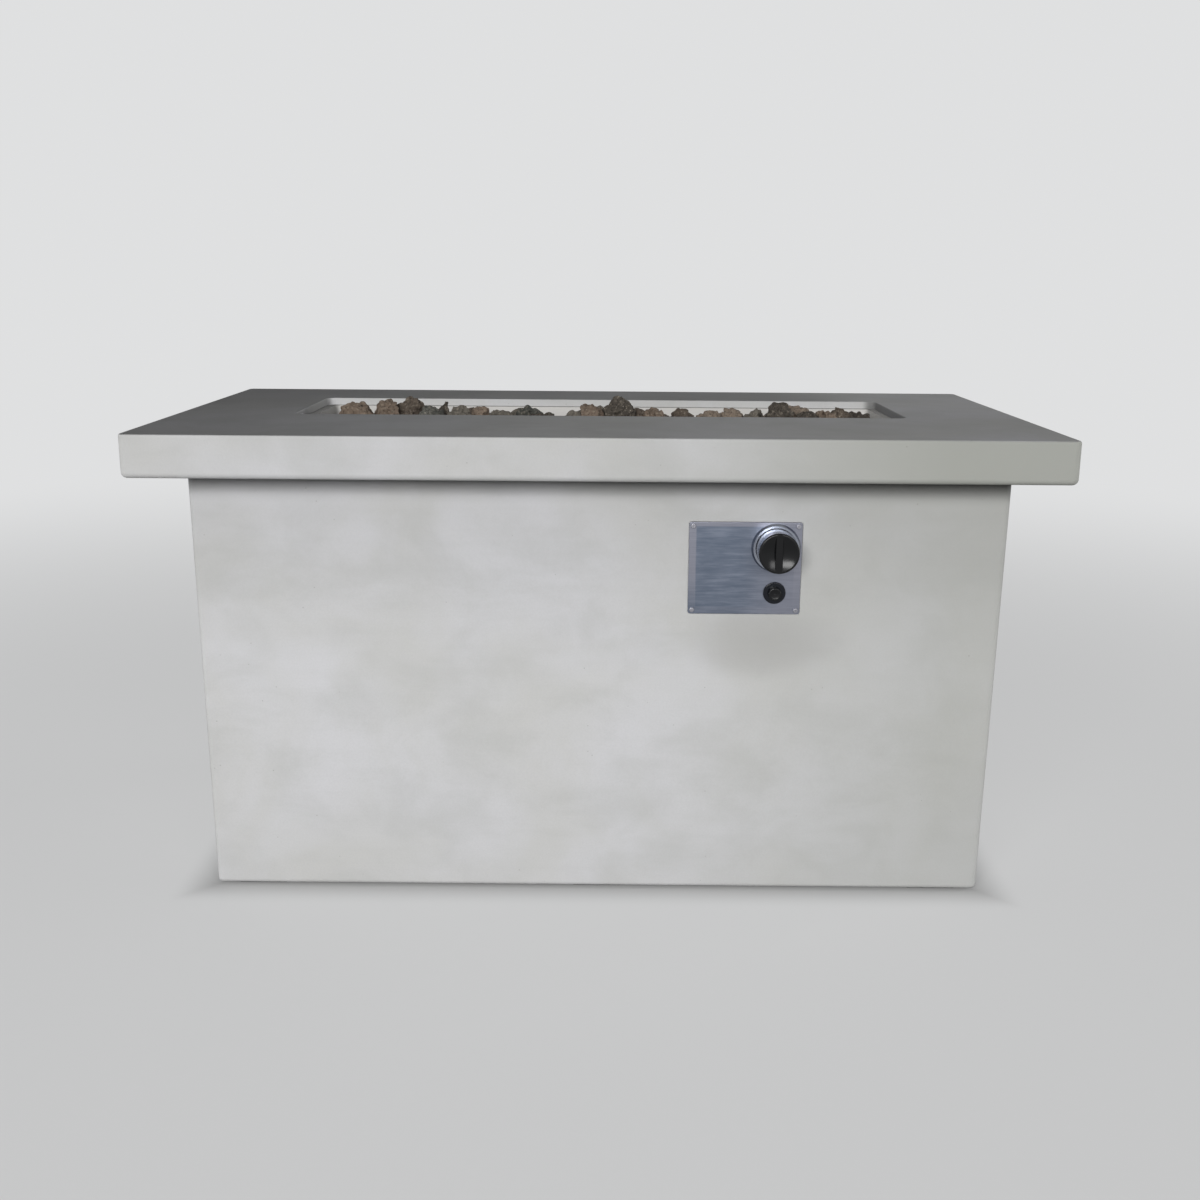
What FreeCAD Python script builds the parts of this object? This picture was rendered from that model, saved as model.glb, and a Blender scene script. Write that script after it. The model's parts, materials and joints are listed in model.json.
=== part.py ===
import FreeCAD, Part
import math
import os
import random

# A gas fire pit table: a cast concrete top with a long fire opening, on a hollow cast pedestal.
# All sizes are in millimetres. +X runs along the table to the right, +Y to the back and +Z up.
# The origin is on the ground, under the middle of the table.

# Table top
top_length = 1118.0
top_depth = 610.0
top_thickness = 52.0
table_height = 594.0
top_corner_radius = 9.0
top_upper_edge_radius = 3.0
top_lower_edge_radius = 7.0
pocket_depth = 28.0
pocket_margin = 30.0
pocket_corner_radius = 15.0

# Fire opening, with a shallow rebate round it and a ledge that carries the pan
rebate_length = 812.0
rebate_width = 228.0
rebate_depth = 11.5
rebate_corner_radius = 14.0
rebate_edge_radius = 2.0
ledge_width = 9.5
fire_y = 47.0

# Pedestal
overhang = 60.0
pedestal_draft = 5.0
pedestal_wall = 18.0
pedestal_corner_radius = 8.0
pedestal_foot_radius = 6.0
pad_thickness = 2.0
foot_height = 2.0

# Control plate, knob and igniter on the front wall
plate_width = 138.0
plate_height = 115.0
plate_thickness = 2.0
plate_corner_radius = 3.0
plate_x = 179.0
plate_drop = 166.0
plate_screw_inset = 5.0
plate_screw_length = 14.0
plate_bearing = 10.5
seat_clearance = 0.8
seat_depth = 0.5
knob_x = 216.0
knob_drop = 140.0
knob_radius = 24.6
knob_reach = 38.0
knob_scoop = 5.0
knob_bar = 9.0
knob_gap = 7.2
knob_travel = 5.0
sleeve_wall = 1.0
knob_cap = 4.0
bezel_radius = 30.0
bezel_height = 6.0
stem_radius = 3.0
rod_radius = 2.5
running_clearance = 0.05
valve_half_width = 18.0
valve_half_height = 20.0
valve_depth = 50.0
bonnet_radius = 20.0
bonnet_thickness = 4.0
valve_screw_offset = 15.0
fitting_radius = 7.94
fitting_length = 16.0
fitting_depth = 44.0
button_drop = 196.0
button_radius = 8.1
button_reach = 10.0
button_travel = 4.0
barrel_radius = 11.0
barrel_length = 66.0
barrel_end = 3.0
barrel_flange_radius = 13.8
barrel_flange = 3.5
battery_radius = 7.25
battery_length = 50.5

# Burner pan and burner
pan_sheet = 1.5
pan_depth = 80.0
pan_flange_clearance = 2.0
pan_wall_clearance = 2.0
pan_corner_radius = 8.0
burner_length = 640.0
burner_radius = 12.7
burner_wall = 1.5
burner_lift = 6.0
burner_saddle_x = 240.0
saddle_sheet = 3.0
saddle_foot = 18.0
port_radius = 1.4
port_pitch = 26.0
hub_radius = 10.5
hub_wall = 2.5
hub_reach = 38.0
mixer_radius = 15.0
mixer_length = 50.0
shutter_radius = 17.0
shutter_clearance = 0.1
window_width = 9.0
window_height = 16.0
jet_hex = 22.0
jet_hex_height = 12.0
jet_spigot = 8.0
line_radius = 6.5
line_run = 62.0
line_sag = 70.0
pilot_x = 50.0
pilot_offset = 44.0
pilot_reach = 12.0
sensor_offset = 20.0
sensor_radius = 2.6
ceramic_radius = 4.0
hood_length = 56.0
hood_width = 40.0
hood_height = 32.0
shield_length = 700.0
shield_width = 170.0
shield_gap = 15.0

# Lava rocks
rock_seed = 11
rock_pitch = 43.0
rock_gap = 0.3
rock_floor = 34.0
rock_rest = 7.0

# Rear door for the gas bottle
door_end_gap = 59.0
door_opening_width = 380.0
door_head = 38.0
door_sill = 36.0
frame_sheet = 2.0
frame_flange = 24.0
frame_return = 14.0
frame_clearance = 1.0
door_lap = 12.0
door_thickness = 12.0
door_sheet = 1.5
door_gap = 0.6
door_corner_radius = 4.0
hinge_radius = 4.5
hinge_pin_radius = 2.0
hinge_offset = 6.0
hinge_knuckle = 20.0
hinge_spread = 320.0
handle_length = 96.0
handle_reach = 22.0
handle_radius = 4.0
louvre_length = 130.0
louvre_pitch = 18.0
louvre_radius = 7.0

# Bottle tray and its rails
rail_spread = 140.0
rail_width = 30.0
rail_height = 12.0
rail_lift = 3.0
rail_sheet = 2.0
rail_plate_width = 74.0
rail_plate_height = 22.0
tray_size = 320.0
tray_sheet = 2.0
ring_radius = 116.0
ring_height = 22.0

# Brackets, inserts and vents
bracket_leg = 32.0
bracket_width = 40.0
bracket_sheet = 3.0
bracket_x = 330.0
bolt_radius = 2.9
insert_radius = 5.0
insert_length = 13.0
insert_bore = 3.0
vent_length = 150.0
vent_height = 80.0
vent_sheet = 1.5
vent_z = 110.0
vent_bearing = 13.0
vent_slot = 5.0

# Places that follow from the sizes above
slab_bottom = table_height - top_thickness
plate_z = table_height - plate_drop
knob_z = table_height - knob_drop
button_z = table_height - button_drop
door_opening_height = slab_bottom - door_head - door_sill
door_x = overhang - top_length / 2 + door_end_gap + door_opening_width / 2
pedestal_top = slab_bottom - pad_thickness
pedestal_bottom = foot_height
ledge_z = table_height - rebate_depth
hole_length = rebate_length - 2 * ledge_width
hole_width = rebate_width - 2 * ledge_width
pan_length = hole_length - 2 * pan_wall_clearance
pan_width = hole_width - 2 * pan_wall_clearance
pan_bottom = ledge_z - pan_depth
pan_floor = pan_bottom + pan_sheet
burner_z = pan_floor + burner_lift + burner_radius
hub_bottom = pan_floor + burner_lift - hub_reach
mixer_top = hub_bottom + 10.0
mixer_bottom = mixer_top - mixer_length
pilot_y = fire_y - pilot_offset
pilot_low = pan_bottom - pilot_reach
sensor_x = pilot_x - sensor_offset
hood_x = pilot_x - sensor_offset / 2
hole_corner_radius = pan_corner_radius + pan_wall_clearance
shield_top = pan_bottom - shield_gap


def vec(x, y, z):
    return FreeCAD.Vector(x, y, z)


def outer_half_y(z):
    """Half the pedestal's outer depth at a height: the walls draw in towards the ground."""
    share = (pedestal_top - z) / (pedestal_top - pedestal_bottom)
    return top_depth / 2 - overhang - pedestal_draft * share


def outer_half_x(z):
    return outer_half_y(z) + (top_length - top_depth) / 2


def inner_half_y(z):
    return outer_half_y(z) - pedestal_wall


def inner_half_x(z):
    return outer_half_x(z) - pedestal_wall


plate_seat_y = -(outer_half_y(plate_z - plate_height / 2 - seat_clearance) - seat_depth)
plate_front = plate_seat_y - plate_thickness
frame_bottom = door_sill - frame_sheet - frame_flange
door_seat_y = outer_half_y(frame_bottom - seat_clearance) - seat_depth
door_back_y = door_seat_y + frame_sheet + door_gap
door_front_y = door_back_y + door_thickness
door_width = door_opening_width + 2 * door_lap
door_height = door_opening_height + 2 * door_lap
door_z = door_sill + door_opening_height / 2
hinge_x = door_x - door_width / 2 - hinge_offset
hinge_y = door_seat_y + frame_sheet + hinge_radius + 1.4
rail_z = pedestal_bottom + rail_lift
tray_z = rail_z + rail_height
vent_seat_x = outer_half_x(vent_z - vent_height / 2 - seat_clearance) - seat_depth


# Shape helpers

def block(low, high):
    return Part.makeBox(high[0] - low[0], high[1] - low[1], high[2] - low[2], vec(*low))


def rod(radius, length, base, direction):
    return Part.makeCylinder(radius, length, base, direction)


def ring(outer, inner, length, base, direction):
    return rod(outer, length, base, direction).cut(rod(inner, length, base, direction))


def outline(size_u, size_v, radius, point):
    """A rectangle with rounded corners; point(u, v) places its corners in space."""
    half_u = size_u / 2
    half_v = size_v / 2
    bend = radius * (1 - math.sqrt(0.5))
    edges = []
    corners = [(1, -1), (1, 1), (-1, 1), (-1, -1)]
    ends = []
    for su, sv in corners:
        along_u = point(su * (half_u - radius), sv * half_v)
        along_v = point(su * half_u, sv * (half_v - radius))
        middle = point(su * (half_u - bend), sv * (half_v - bend))
        first, last = (along_u, along_v) if su * sv < 0 else (along_v, along_u)
        ends.append((first, middle, last))
    for i, (first, middle, last) in enumerate(ends):
        edges.append(Part.Arc(first, middle, last).toShape())
        edges.append(Part.LineSegment(last, ends[(i + 1) % 4][0]).toShape())
    return Part.Wire(edges)


def plate_up(centre, size_x, size_y, radius, low, high):
    """A flat rounded plate or pocket whose thickness runs along Z."""
    wire = outline(size_x, size_y, radius, lambda u, v: vec(centre[0] + u, centre[1] + v, low))
    return Part.Face(wire).extrude(vec(0, 0, high - low))


def plate_back(centre, size_x, size_z, radius, low, high):
    """A flat rounded plate or pocket whose thickness runs along Y; centre is (x, z)."""
    wire = outline(size_x, size_z, radius, lambda u, v: vec(centre[0] + u, low, centre[1] + v))
    return Part.Face(wire).extrude(vec(0, high - low, 0))


def plate_side(centre, size_y, size_z, radius, low, high):
    """A flat rounded plate or pocket whose thickness runs along X; centre is (y, z)."""
    wire = outline(size_y, size_z, radius, lambda u, v: vec(low, centre[0] + u, centre[1] + v))
    return Part.Face(wire).extrude(vec(high - low, 0, 0))


def prism(across_flats, length, base, direction):
    """A hexagon bar; two of its flats face the local Y axis."""
    reach = across_flats / math.sqrt(3)
    corners = [vec(reach * math.cos(math.radians(a)), reach * math.sin(math.radians(a)), 0)
               for a in range(0, 361, 60)]
    bar = Part.Face(Part.makePolygon(corners)).extrude(vec(0, 0, length))
    return placed(bar, base, direction)


def placed(shape, base, direction):
    """Turns a shape's own +Z to a direction and puts its origin at base."""
    shape.Placement = FreeCAD.Placement(base, FreeCAD.Rotation(vec(0, 0, 1), direction))
    return shape


def spun(points):
    """Turns a closed outline of (radius, height) points about the Z axis."""
    wire = Part.makePolygon([vec(r, 0, h) for r, h in points + points[:1]])
    return Part.Face(wire).revolve(vec(0, 0, 0), vec(0, 0, 1), 360)


def lump(faces):
    """The solid of a convex set of face loops."""
    made = []
    for loop in faces:
        made.append(Part.Face(Part.makePolygon(loop + loop[:1])))
    return Part.Solid(Part.makeShell(made))


def at_level(shape, level):
    """The edges of a shape that lie flat at one height."""
    return [e for e in shape.Edges if all(abs(v.Z - level) < 1e-4 for v in e.Vertexes)]


def screw(base, direction, head_radius, head_height, shank_radius, shank_length, recess="cross"):
    """A screw whose head sits on base and whose shank runs along direction."""
    head = rod(head_radius, head_height, vec(0, 0, -head_height), vec(0, 0, 1))
    head = head.makeFillet(head_height * 0.45, at_level(head, -head_height))
    deep = head_height * 0.5
    if recess == "cross":
        arm = head_radius * 0.6
        slot = head_radius * 0.1
        bars = [block((-arm, -slot, -head_height), (arm, slot, -head_height + deep)),
                block((-slot, -arm, -head_height), (slot, arm, -head_height + deep))]
        head = head.cut(bars[0].fuse(bars[1]))
    else:
        head = head.cut(prism(head_radius * 0.8, deep, vec(0, 0, -head_height), vec(0, 0, 1)))
    return placed(head.fuse(rod(shank_radius, shank_length, vec(0, 0, 0), vec(0, 0, 1))), base, direction)


def rounded_path(points):
    """Straight runs joined by tangent arcs, each as large as its two runs allow."""
    edges = []
    start = points[0]
    for before, corner, after in zip(points, points[1:], points[2:]):
        back = (before - corner).normalize()
        on = (after - corner).normalize()
        reach = 0.45 * min((before - corner).Length, (after - corner).Length)
        half_turn = (math.pi - back.getAngle(on)) / 2
        radius = reach / math.tan(half_turn)
        bisector = (back + on).normalize()
        middle = corner + bisector * (radius / math.cos(half_turn) - radius)
        edges.append(Part.LineSegment(start, corner + back * reach).toShape())
        edges.append(Part.Arc(corner + back * reach, middle, corner + on * reach).toShape())
        start = corner + on * reach
    edges.append(Part.LineSegment(start, points[-1]).toShape())
    return Part.Wire(edges)


def tube_along(points, radius):
    path = rounded_path(points)
    profile = Part.Wire(Part.Edge(Part.Circle(points[0], points[1] - points[0], radius)))
    return path.makePipeShell([profile], True, False)


def tangent_arc(start, tangent, end):
    """The arc from start, leaving along tangent, to end."""
    chord = end - start
    half = chord.Length / 2
    angle = tangent.getAngle(chord)
    side = (tangent - chord * (tangent.dot(chord) / chord.Length ** 2)).normalize()
    middle = (start + end) * 0.5 + side * (half * math.tan(angle / 2))
    return Part.Arc(start, middle, end).toShape()


def coil_spring(coil_radius, wire_radius, length, turns):
    """A round-wire compression spring along +Z from the origin, on pairs of tangent arcs."""
    rise = (length - 2 * wire_radius) / (turns * 2 * math.pi)

    def point(angle):
        return vec(coil_radius * math.cos(angle), coil_radius * math.sin(angle), wire_radius + rise * angle)

    def heading(angle):
        return vec(-coil_radius * math.sin(angle), coil_radius * math.cos(angle), rise).normalize()

    edges = []
    step = math.pi / 2
    for i in range(int(turns * 4)):
        start, end = point(i * step), point((i + 1) * step)
        leave, arrive = heading(i * step), heading((i + 1) * step)
        chord = end - start
        b = chord.dot(leave + arrive)
        a = 2 * (1 - leave.dot(arrive))
        reach = (-b + math.sqrt(b * b + a * chord.dot(chord))) / a
        joint = (start + leave * reach + end - arrive * reach) * 0.5
        edges.append(tangent_arc(start, leave, joint))
        second = tangent_arc(end, arrive * -1, joint)
        edges.append(second)
    path = Part.Wire(Part.__sortEdges__(edges))
    profile = Part.Wire(Part.Edge(Part.Circle(point(0), heading(0), wire_radius)))
    return path.makePipeShell([profile], True, False)


# Places on the pedestal's inner walls, where local +Y points into the hollow

def wall_place(side, along, z):
    turn = {"front": 0, "back": 180, "left": -90, "right": 90}[side]
    base = {"front": vec(along, -inner_half_y(z), z), "back": vec(along, inner_half_y(z), z),
            "left": vec(-inner_half_x(z), along, z), "right": vec(inner_half_x(z), along, z)}[side]
    return FreeCAD.Placement(base, FreeCAD.Rotation(vec(0, 0, 1), turn))


def moved(shape, placement):
    shape.Placement = placement.multiply(shape.Placement)
    return shape


back_bracket_x = door_x + door_opening_width / 2 + bracket_width
bracket_sites = [("front", -bracket_x), ("front", bracket_x), ("back", bracket_x),
                 ("back", back_bracket_x), ("left", 0.0), ("right", 0.0)]
bracket_bolt_reach = bracket_leg * 0.6


def bracket_places():
    """Each bracket's back corner under the slab, set where its leg's foot meets the drawn-in wall."""
    places = []
    for side, along in bracket_sites:
        low = wall_place(side, along, slab_bottom - bracket_leg)
        places.append(FreeCAD.Placement(low.Base + vec(0, 0, bracket_leg), low.Rotation))
    return places


def rail_bolt_places():
    places = []
    for side in ("front", "back"):
        for rail in (-rail_spread, rail_spread):
            for offset in (-rail_plate_width / 3, rail_plate_width / 3):
                flat = wall_place(side, door_x + rail + offset, rail_z)
                raised = flat.Base + vec(0, 0, rail_plate_height / 2)
                places.append(FreeCAD.Placement(raised, flat.Rotation))
    return places


# Cast concrete

def table_top():
    slab = plate_up((0, 0), top_length, top_depth, top_corner_radius, slab_bottom, table_height)
    slab = slab.makeFillet(top_upper_edge_radius, at_level(slab, table_height))
    slab = slab.makeFillet(top_lower_edge_radius, at_level(slab, slab_bottom))
    slab = slab.cut(plate_up((0, fire_y), rebate_length, rebate_width, rebate_corner_radius,
                             ledge_z, table_height + 1))
    rim = [e for e in at_level(slab, table_height)
           if e.BoundBox.XMax < rebate_length / 2 + 1 and e.BoundBox.XMin > -rebate_length / 2 - 1
           and e.BoundBox.YMax < fire_y + rebate_width / 2 + 1
           and e.BoundBox.YMin > fire_y - rebate_width / 2 - 1]
    slab = slab.makeFillet(rebate_edge_radius, rim)
    slab = slab.cut(plate_up((0, fire_y), hole_length, hole_width, hole_corner_radius,
                             slab_bottom - 1, table_height))
    front = -inner_half_y(slab_bottom) + bracket_leg + 5
    back = fire_y - rebate_width / 2 - pocket_margin
    slab = slab.cut(plate_up((0, (front + back) / 2), rebate_length, back - front, pocket_corner_radius,
                             slab_bottom - 1, slab_bottom + pocket_depth))
    for place in bracket_places():
        hole = rod(insert_radius, insert_length + 1, vec(0, bracket_bolt_reach, -1), vec(0, 0, 1))
        slab = slab.cut(moved(hole, place))
    return slab


def drafted_block(half_x, half_y, radius, low, high):
    """A block whose four walls lean in towards the ground, with rounded upright edges."""
    corners = [(1, -1), (1, 1), (-1, 1), (-1, -1)]
    lower = [vec(sx * half_x(low), sy * half_y(low), low) for sx, sy in corners]
    upper = [vec(sx * half_x(high), sy * half_y(high), high) for sx, sy in corners]
    walls = [[lower[i], lower[(i + 1) % 4], upper[(i + 1) % 4], upper[i]] for i in range(4)]
    body = lump([lower[::-1], upper] + walls)
    upright = [e for e in body.Edges if abs(e.Vertexes[0].Z - e.Vertexes[1].Z) > 1]
    return body.makeFillet(radius, upright)


def pedestal():
    body = drafted_block(outer_half_x, outer_half_y, pedestal_corner_radius, pedestal_bottom, pedestal_top)
    body = body.makeFillet(pedestal_foot_radius, at_level(body, pedestal_bottom))
    reach = 5.0
    body = body.cut(drafted_block(inner_half_x, inner_half_y, pedestal_corner_radius / 2,
                                  pedestal_bottom - reach, pedestal_top + reach))
    body = body.cut(front_wall_cuts()).cut(back_wall_cuts())
    for side in (-1, 1):
        body = body.cut(end_wall_cuts(side))
    tools = []
    for place in bracket_places():
        tools.append(moved(insert_pocket(-bracket_bolt_reach), place))
    for place in rail_bolt_places():
        tools.append(moved(insert_pocket(0), place))
    return body.cut(Part.makeCompound(tools))


def insert_pocket(z):
    """A round pocket for an insert, sunk in a wall from its inner face."""
    return rod(insert_radius, insert_length + 2, vec(0, 1.5, z), vec(0, -1, 0))


def front_wall_cuts():
    seat = plate_back((plate_x, plate_z), plate_width + 2 * seat_clearance, plate_height + 2 * seat_clearance,
                      plate_corner_radius, plate_seat_y - 20, plate_seat_y)
    hole = plate_back((plate_x, plate_z), plate_width - 2 * plate_bearing, plate_height - 2 * plate_bearing,
                      plate_corner_radius, plate_seat_y - 1, plate_seat_y + 2 * pedestal_wall)
    cuts = seat.fuse(hole)
    for x, z in plate_screw_sites():
        cuts = cuts.fuse(rod(2.1, plate_screw_length + 1, vec(x, plate_seat_y - 1, z), vec(0, 1, 0)))
    return cuts


def back_wall_cuts():
    wide = door_opening_width + 2 * (frame_sheet + frame_flange)
    tall = door_opening_height + 2 * (frame_sheet + frame_flange)
    seat = plate_back((door_x, door_z), wide + 2 * seat_clearance, tall + 2 * seat_clearance,
                      door_corner_radius, door_seat_y, door_seat_y + 20)
    hole = plate_back((door_x, door_z), door_opening_width + 2 * (frame_sheet + frame_clearance),
                      door_opening_height + 2 * (frame_sheet + frame_clearance), door_corner_radius,
                      door_seat_y - 2 * pedestal_wall, door_seat_y + 1)
    cuts = seat.fuse(hole)
    for x, z in frame_screw_sites():
        cuts = cuts.fuse(rod(2.1, 12, vec(x, door_seat_y + 1, z), vec(0, -1, 0)))
    return cuts


def end_wall_cuts(side):
    span = 20.0
    seat = plate_side((0, vent_z), vent_length + 2 * seat_clearance, vent_height + 2 * seat_clearance, 3.0,
                      *sorted((side * vent_seat_x, side * (vent_seat_x + span))))
    hole = plate_side((0, vent_z), vent_length - 2 * vent_bearing, vent_height - 2 * vent_bearing, 3.0,
                      *sorted((side * (vent_seat_x - 2 * pedestal_wall), side * (vent_seat_x + 1))))
    cuts = seat.fuse(hole)
    for y, z in vent_screw_sites():
        cuts = cuts.fuse(rod(1.6, 11, vec(side * (vent_seat_x + 1), y, z), vec(-side, 0, 0)))
    return cuts


# Pads, feet, brackets and inserts

def top_pads():
    pads = []
    length = 40.0
    width = pedestal_wall - 6
    middle_y = inner_half_y(pedestal_top) + pedestal_wall / 2
    middle_x = inner_half_x(pedestal_top) + pedestal_wall / 2
    for side in (-1, 1):
        for x in (-0.8 * middle_x, 0.0, 0.8 * middle_x):
            pads.append(plate_up((x, side * middle_y), length, width, 3.0, pedestal_top, slab_bottom))
        pads.append(plate_up((side * middle_x, 0), width, length, 3.0, pedestal_top, slab_bottom))
    return Part.makeCompound(pads)


def feet():
    blocks = []
    width = pedestal_wall - pedestal_foot_radius - 3
    middle_y = inner_half_y(pedestal_bottom) + width / 2 + 1
    far_x = inner_half_x(pedestal_bottom) - 40
    for side in (-1, 1):
        for x in (-far_x, 0.0, far_x):
            blocks.append(plate_up((x, side * middle_y), 64.0, width, 3.0, 0, pedestal_bottom))
    return Part.makeCompound(blocks)


def top_brackets():
    pieces = []
    for place in bracket_places():
        half = bracket_width / 2
        upright = block((-half, 0, -bracket_leg), (half, bracket_sheet, 0))
        flat = block((-half, 0, -bracket_sheet), (half, bracket_leg, 0))
        bend = rod(bracket_sheet, bracket_width,
                   vec(-half, 2 * bracket_sheet, -2 * bracket_sheet), vec(1, 0, 0))
        gusset = block((-half, bracket_sheet, -2 * bracket_sheet), (half, 2 * bracket_sheet, -bracket_sheet))
        piece = upright.fuse(flat).fuse(gusset.cut(bend))
        piece = piece.cut(rod(insert_bore + 0.2, bracket_sheet + 2,
                              vec(0, bracket_bolt_reach, -bracket_sheet - 1), vec(0, 0, 1)))
        piece = piece.cut(rod(insert_bore + 0.2, bracket_sheet + 2,
                              vec(0, -1, -bracket_bolt_reach), vec(0, 1, 0)))
        pieces.append(moved(piece, place))
    return Part.makeCompound(pieces)


def cap_bolt(base, direction):
    return screw(base, direction, 5.2, 3.2, bolt_radius, bracket_sheet + insert_length - 2, "hex")


def bracket_bolts():
    bolts = []
    for place in bracket_places():
        bolts.append(moved(cap_bolt(vec(0, bracket_bolt_reach, -bracket_sheet), vec(0, 0, 1)), place))
        bolts.append(moved(cap_bolt(vec(0, bracket_sheet, -bracket_bolt_reach), vec(0, -1, 0)), place))
    return Part.makeCompound(bolts)


def wall_insert(z):
    return ring(insert_radius, insert_bore, insert_length, vec(0, -0.5, z), vec(0, -1, 0))


def cast_inserts():
    pieces = []
    for place in bracket_places():
        up = ring(insert_radius, insert_bore, insert_length, vec(0, bracket_bolt_reach, 0), vec(0, 0, 1))
        pieces.append(moved(up, place))
        pieces.append(moved(wall_insert(-bracket_bolt_reach), place))
    for place in rail_bolt_places():
        pieces.append(moved(wall_insert(0), place))
    return Part.makeCompound(pieces)


# Control plate and what it carries, in a frame with z = 0 on the plate's front and +z outwards

def control_place(z):
    return FreeCAD.Placement(vec(knob_x, plate_front, z), FreeCAD.Rotation(vec(1, 0, 0), 90))


def plate_screw_sites():
    half_x = plate_width / 2 - plate_screw_inset
    half_z = plate_height / 2 - plate_screw_inset
    return [(plate_x + sx * half_x, plate_z + sz * half_z) for sx in (-1, 1) for sz in (-1, 1)]


def control_plate():
    plate = plate_back((plate_x, plate_z), plate_width, plate_height, plate_corner_radius,
                       plate_front, plate_seat_y)
    edge = [e for e in plate.Edges if all(abs(v.Y - plate_front) < 1e-4 for v in e.Vertexes)]
    plate = plate.makeFillet(0.6, edge)
    start = plate_front - 1
    deep = plate_thickness + 2
    holes = [rod(stem_radius + 1, deep, vec(knob_x, start, knob_z), vec(0, 1, 0)),
             rod(barrel_radius, deep, vec(knob_x, start, button_z), vec(0, 1, 0))]
    for side in (-1, 1):
        holes.append(rod(2.1, deep, vec(knob_x + side * valve_screw_offset, start, knob_z), vec(0, 1, 0)))
    for x, z in plate_screw_sites():
        holes.append(rod(2.2, deep, vec(x, start, z), vec(0, 1, 0)))
    return plate.cut(Part.makeCompound(holes))


def control_plate_screws():
    return Part.makeCompound([screw(vec(x, plate_front, z), vec(0, 1, 0), 3.1, 1.9, 2.0, plate_screw_length)
                              for x, z in plate_screw_sites()])


def knob_bezel():
    floor = 1.2
    lip = 0.8
    cup = spun([(stem_radius + 1, 0), (bezel_radius, 0), (bezel_radius, 1.5),
                (bezel_radius - 2.1, bezel_height), (knob_radius + lip, bezel_height),
                (knob_radius + lip, floor), (stem_radius + 1, floor)])
    for side in (-1, 1):
        cup = cup.cut(rod(2.1, 4, vec(side * valve_screw_offset, 0, -1), vec(0, 0, 1)))
    return moved(cup, control_place(knob_z))


def knob():
    """The black moulding: a dished face with a grip bar across it, hollow behind, on a keyed boss."""
    face = knob_reach - knob_cap
    body = rod(knob_radius - sleeve_wall, face - knob_gap, vec(0, 0, knob_gap), vec(0, 0, 1))
    cap = rod(knob_radius, knob_cap, vec(0, 0, face), vec(0, 0, 1))
    cap = cap.makeFillet(knob_cap * 0.5, at_level(cap, knob_reach))
    dish_radius = knob_radius - 2.9
    sphere_radius = (dish_radius ** 2 + knob_scoop ** 2) / (2 * knob_scoop)
    floor = knob_reach - knob_scoop
    body = body.fuse(cap).cut(Part.makeSphere(sphere_radius, vec(0, 0, floor + sphere_radius)))
    bar = block((-knob_bar / 2, -knob_radius, floor - 1), (knob_bar / 2, knob_radius, knob_reach))
    long_edges = [e for e in at_level(bar, knob_reach) if abs(e.Vertexes[0].X - e.Vertexes[1].X) < 1e-4]
    bar = bar.makeFillet(knob_bar * 0.2, long_edges)
    body = body.fuse(bar.common(rod(knob_radius - 1.2, knob_reach, vec(0, 0, 0), vec(0, 0, 1))))
    hollow = ring(knob_radius - 3.5, 8.0, floor - 5 - knob_gap, vec(0, 0, knob_gap), vec(0, 0, 1))
    body = body.cut(hollow).cut(stem_end(knob_gap, floor - 2))
    return moved(body, control_place(knob_z))


def stem_end(low, high):
    """The keyed end of the stem, or the hole for it: a round bar with one flat."""
    bar = rod(stem_radius, high - low, vec(0, 0, low), vec(0, 0, 1))
    return bar.cut(block((-stem_radius, stem_radius * 0.6, low), (stem_radius, 2 * stem_radius, high)))


def knob_sleeve():
    face = knob_reach - knob_cap
    sleeve = ring(knob_radius, knob_radius - sleeve_wall, face - knob_gap, vec(0, 0, knob_gap), vec(0, 0, 1))
    return moved(sleeve, control_place(knob_z))


stem_low = -28.0
collar_low = -14.0
chamber_end = -32.0


def valve_stem():
    keyed = stem_end(knob_gap, knob_reach - knob_scoop - 4)
    shank = rod(stem_radius, knob_gap - stem_low, vec(0, 0, stem_low), vec(0, 0, 1))
    collar = rod(2 * stem_radius, 2.0, vec(0, 0, collar_low), vec(0, 0, 1))
    return moved(keyed.fuse(shank).fuse(collar), control_place(knob_z))


def valve_push_rod():
    rod_low = stem_low - 16.0
    return moved(rod(rod_radius, stem_low - 0.3 - rod_low, vec(0, 0, rod_low), vec(0, 0, 1)),
                 control_place(knob_z))


def valve_spring():
    wire = 0.5
    space = 0.15
    spring = coil_spring(stem_radius + 2.5, wire, collar_low - chamber_end - 2 * space, 6)
    spring.Placement = FreeCAD.Placement(vec(0, 0, chamber_end + space), FreeCAD.Rotation())
    return moved(spring, control_place(knob_z))


def valve_bonnet():
    top = -plate_thickness
    disc = rod(bonnet_radius, bonnet_thickness, vec(0, 0, top - bonnet_thickness), vec(0, 0, 1))
    disc = disc.cut(rod(stem_radius + running_clearance, bonnet_thickness + 2,
                        vec(0, 0, top - bonnet_thickness - 1), vec(0, 0, 1)))
    for side in (-1, 1):
        disc = disc.cut(rod(1.9, bonnet_thickness + 2,
                            vec(side * valve_screw_offset, 0, top - bonnet_thickness - 1), vec(0, 0, 1)))
    return moved(disc, control_place(knob_z))


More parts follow.
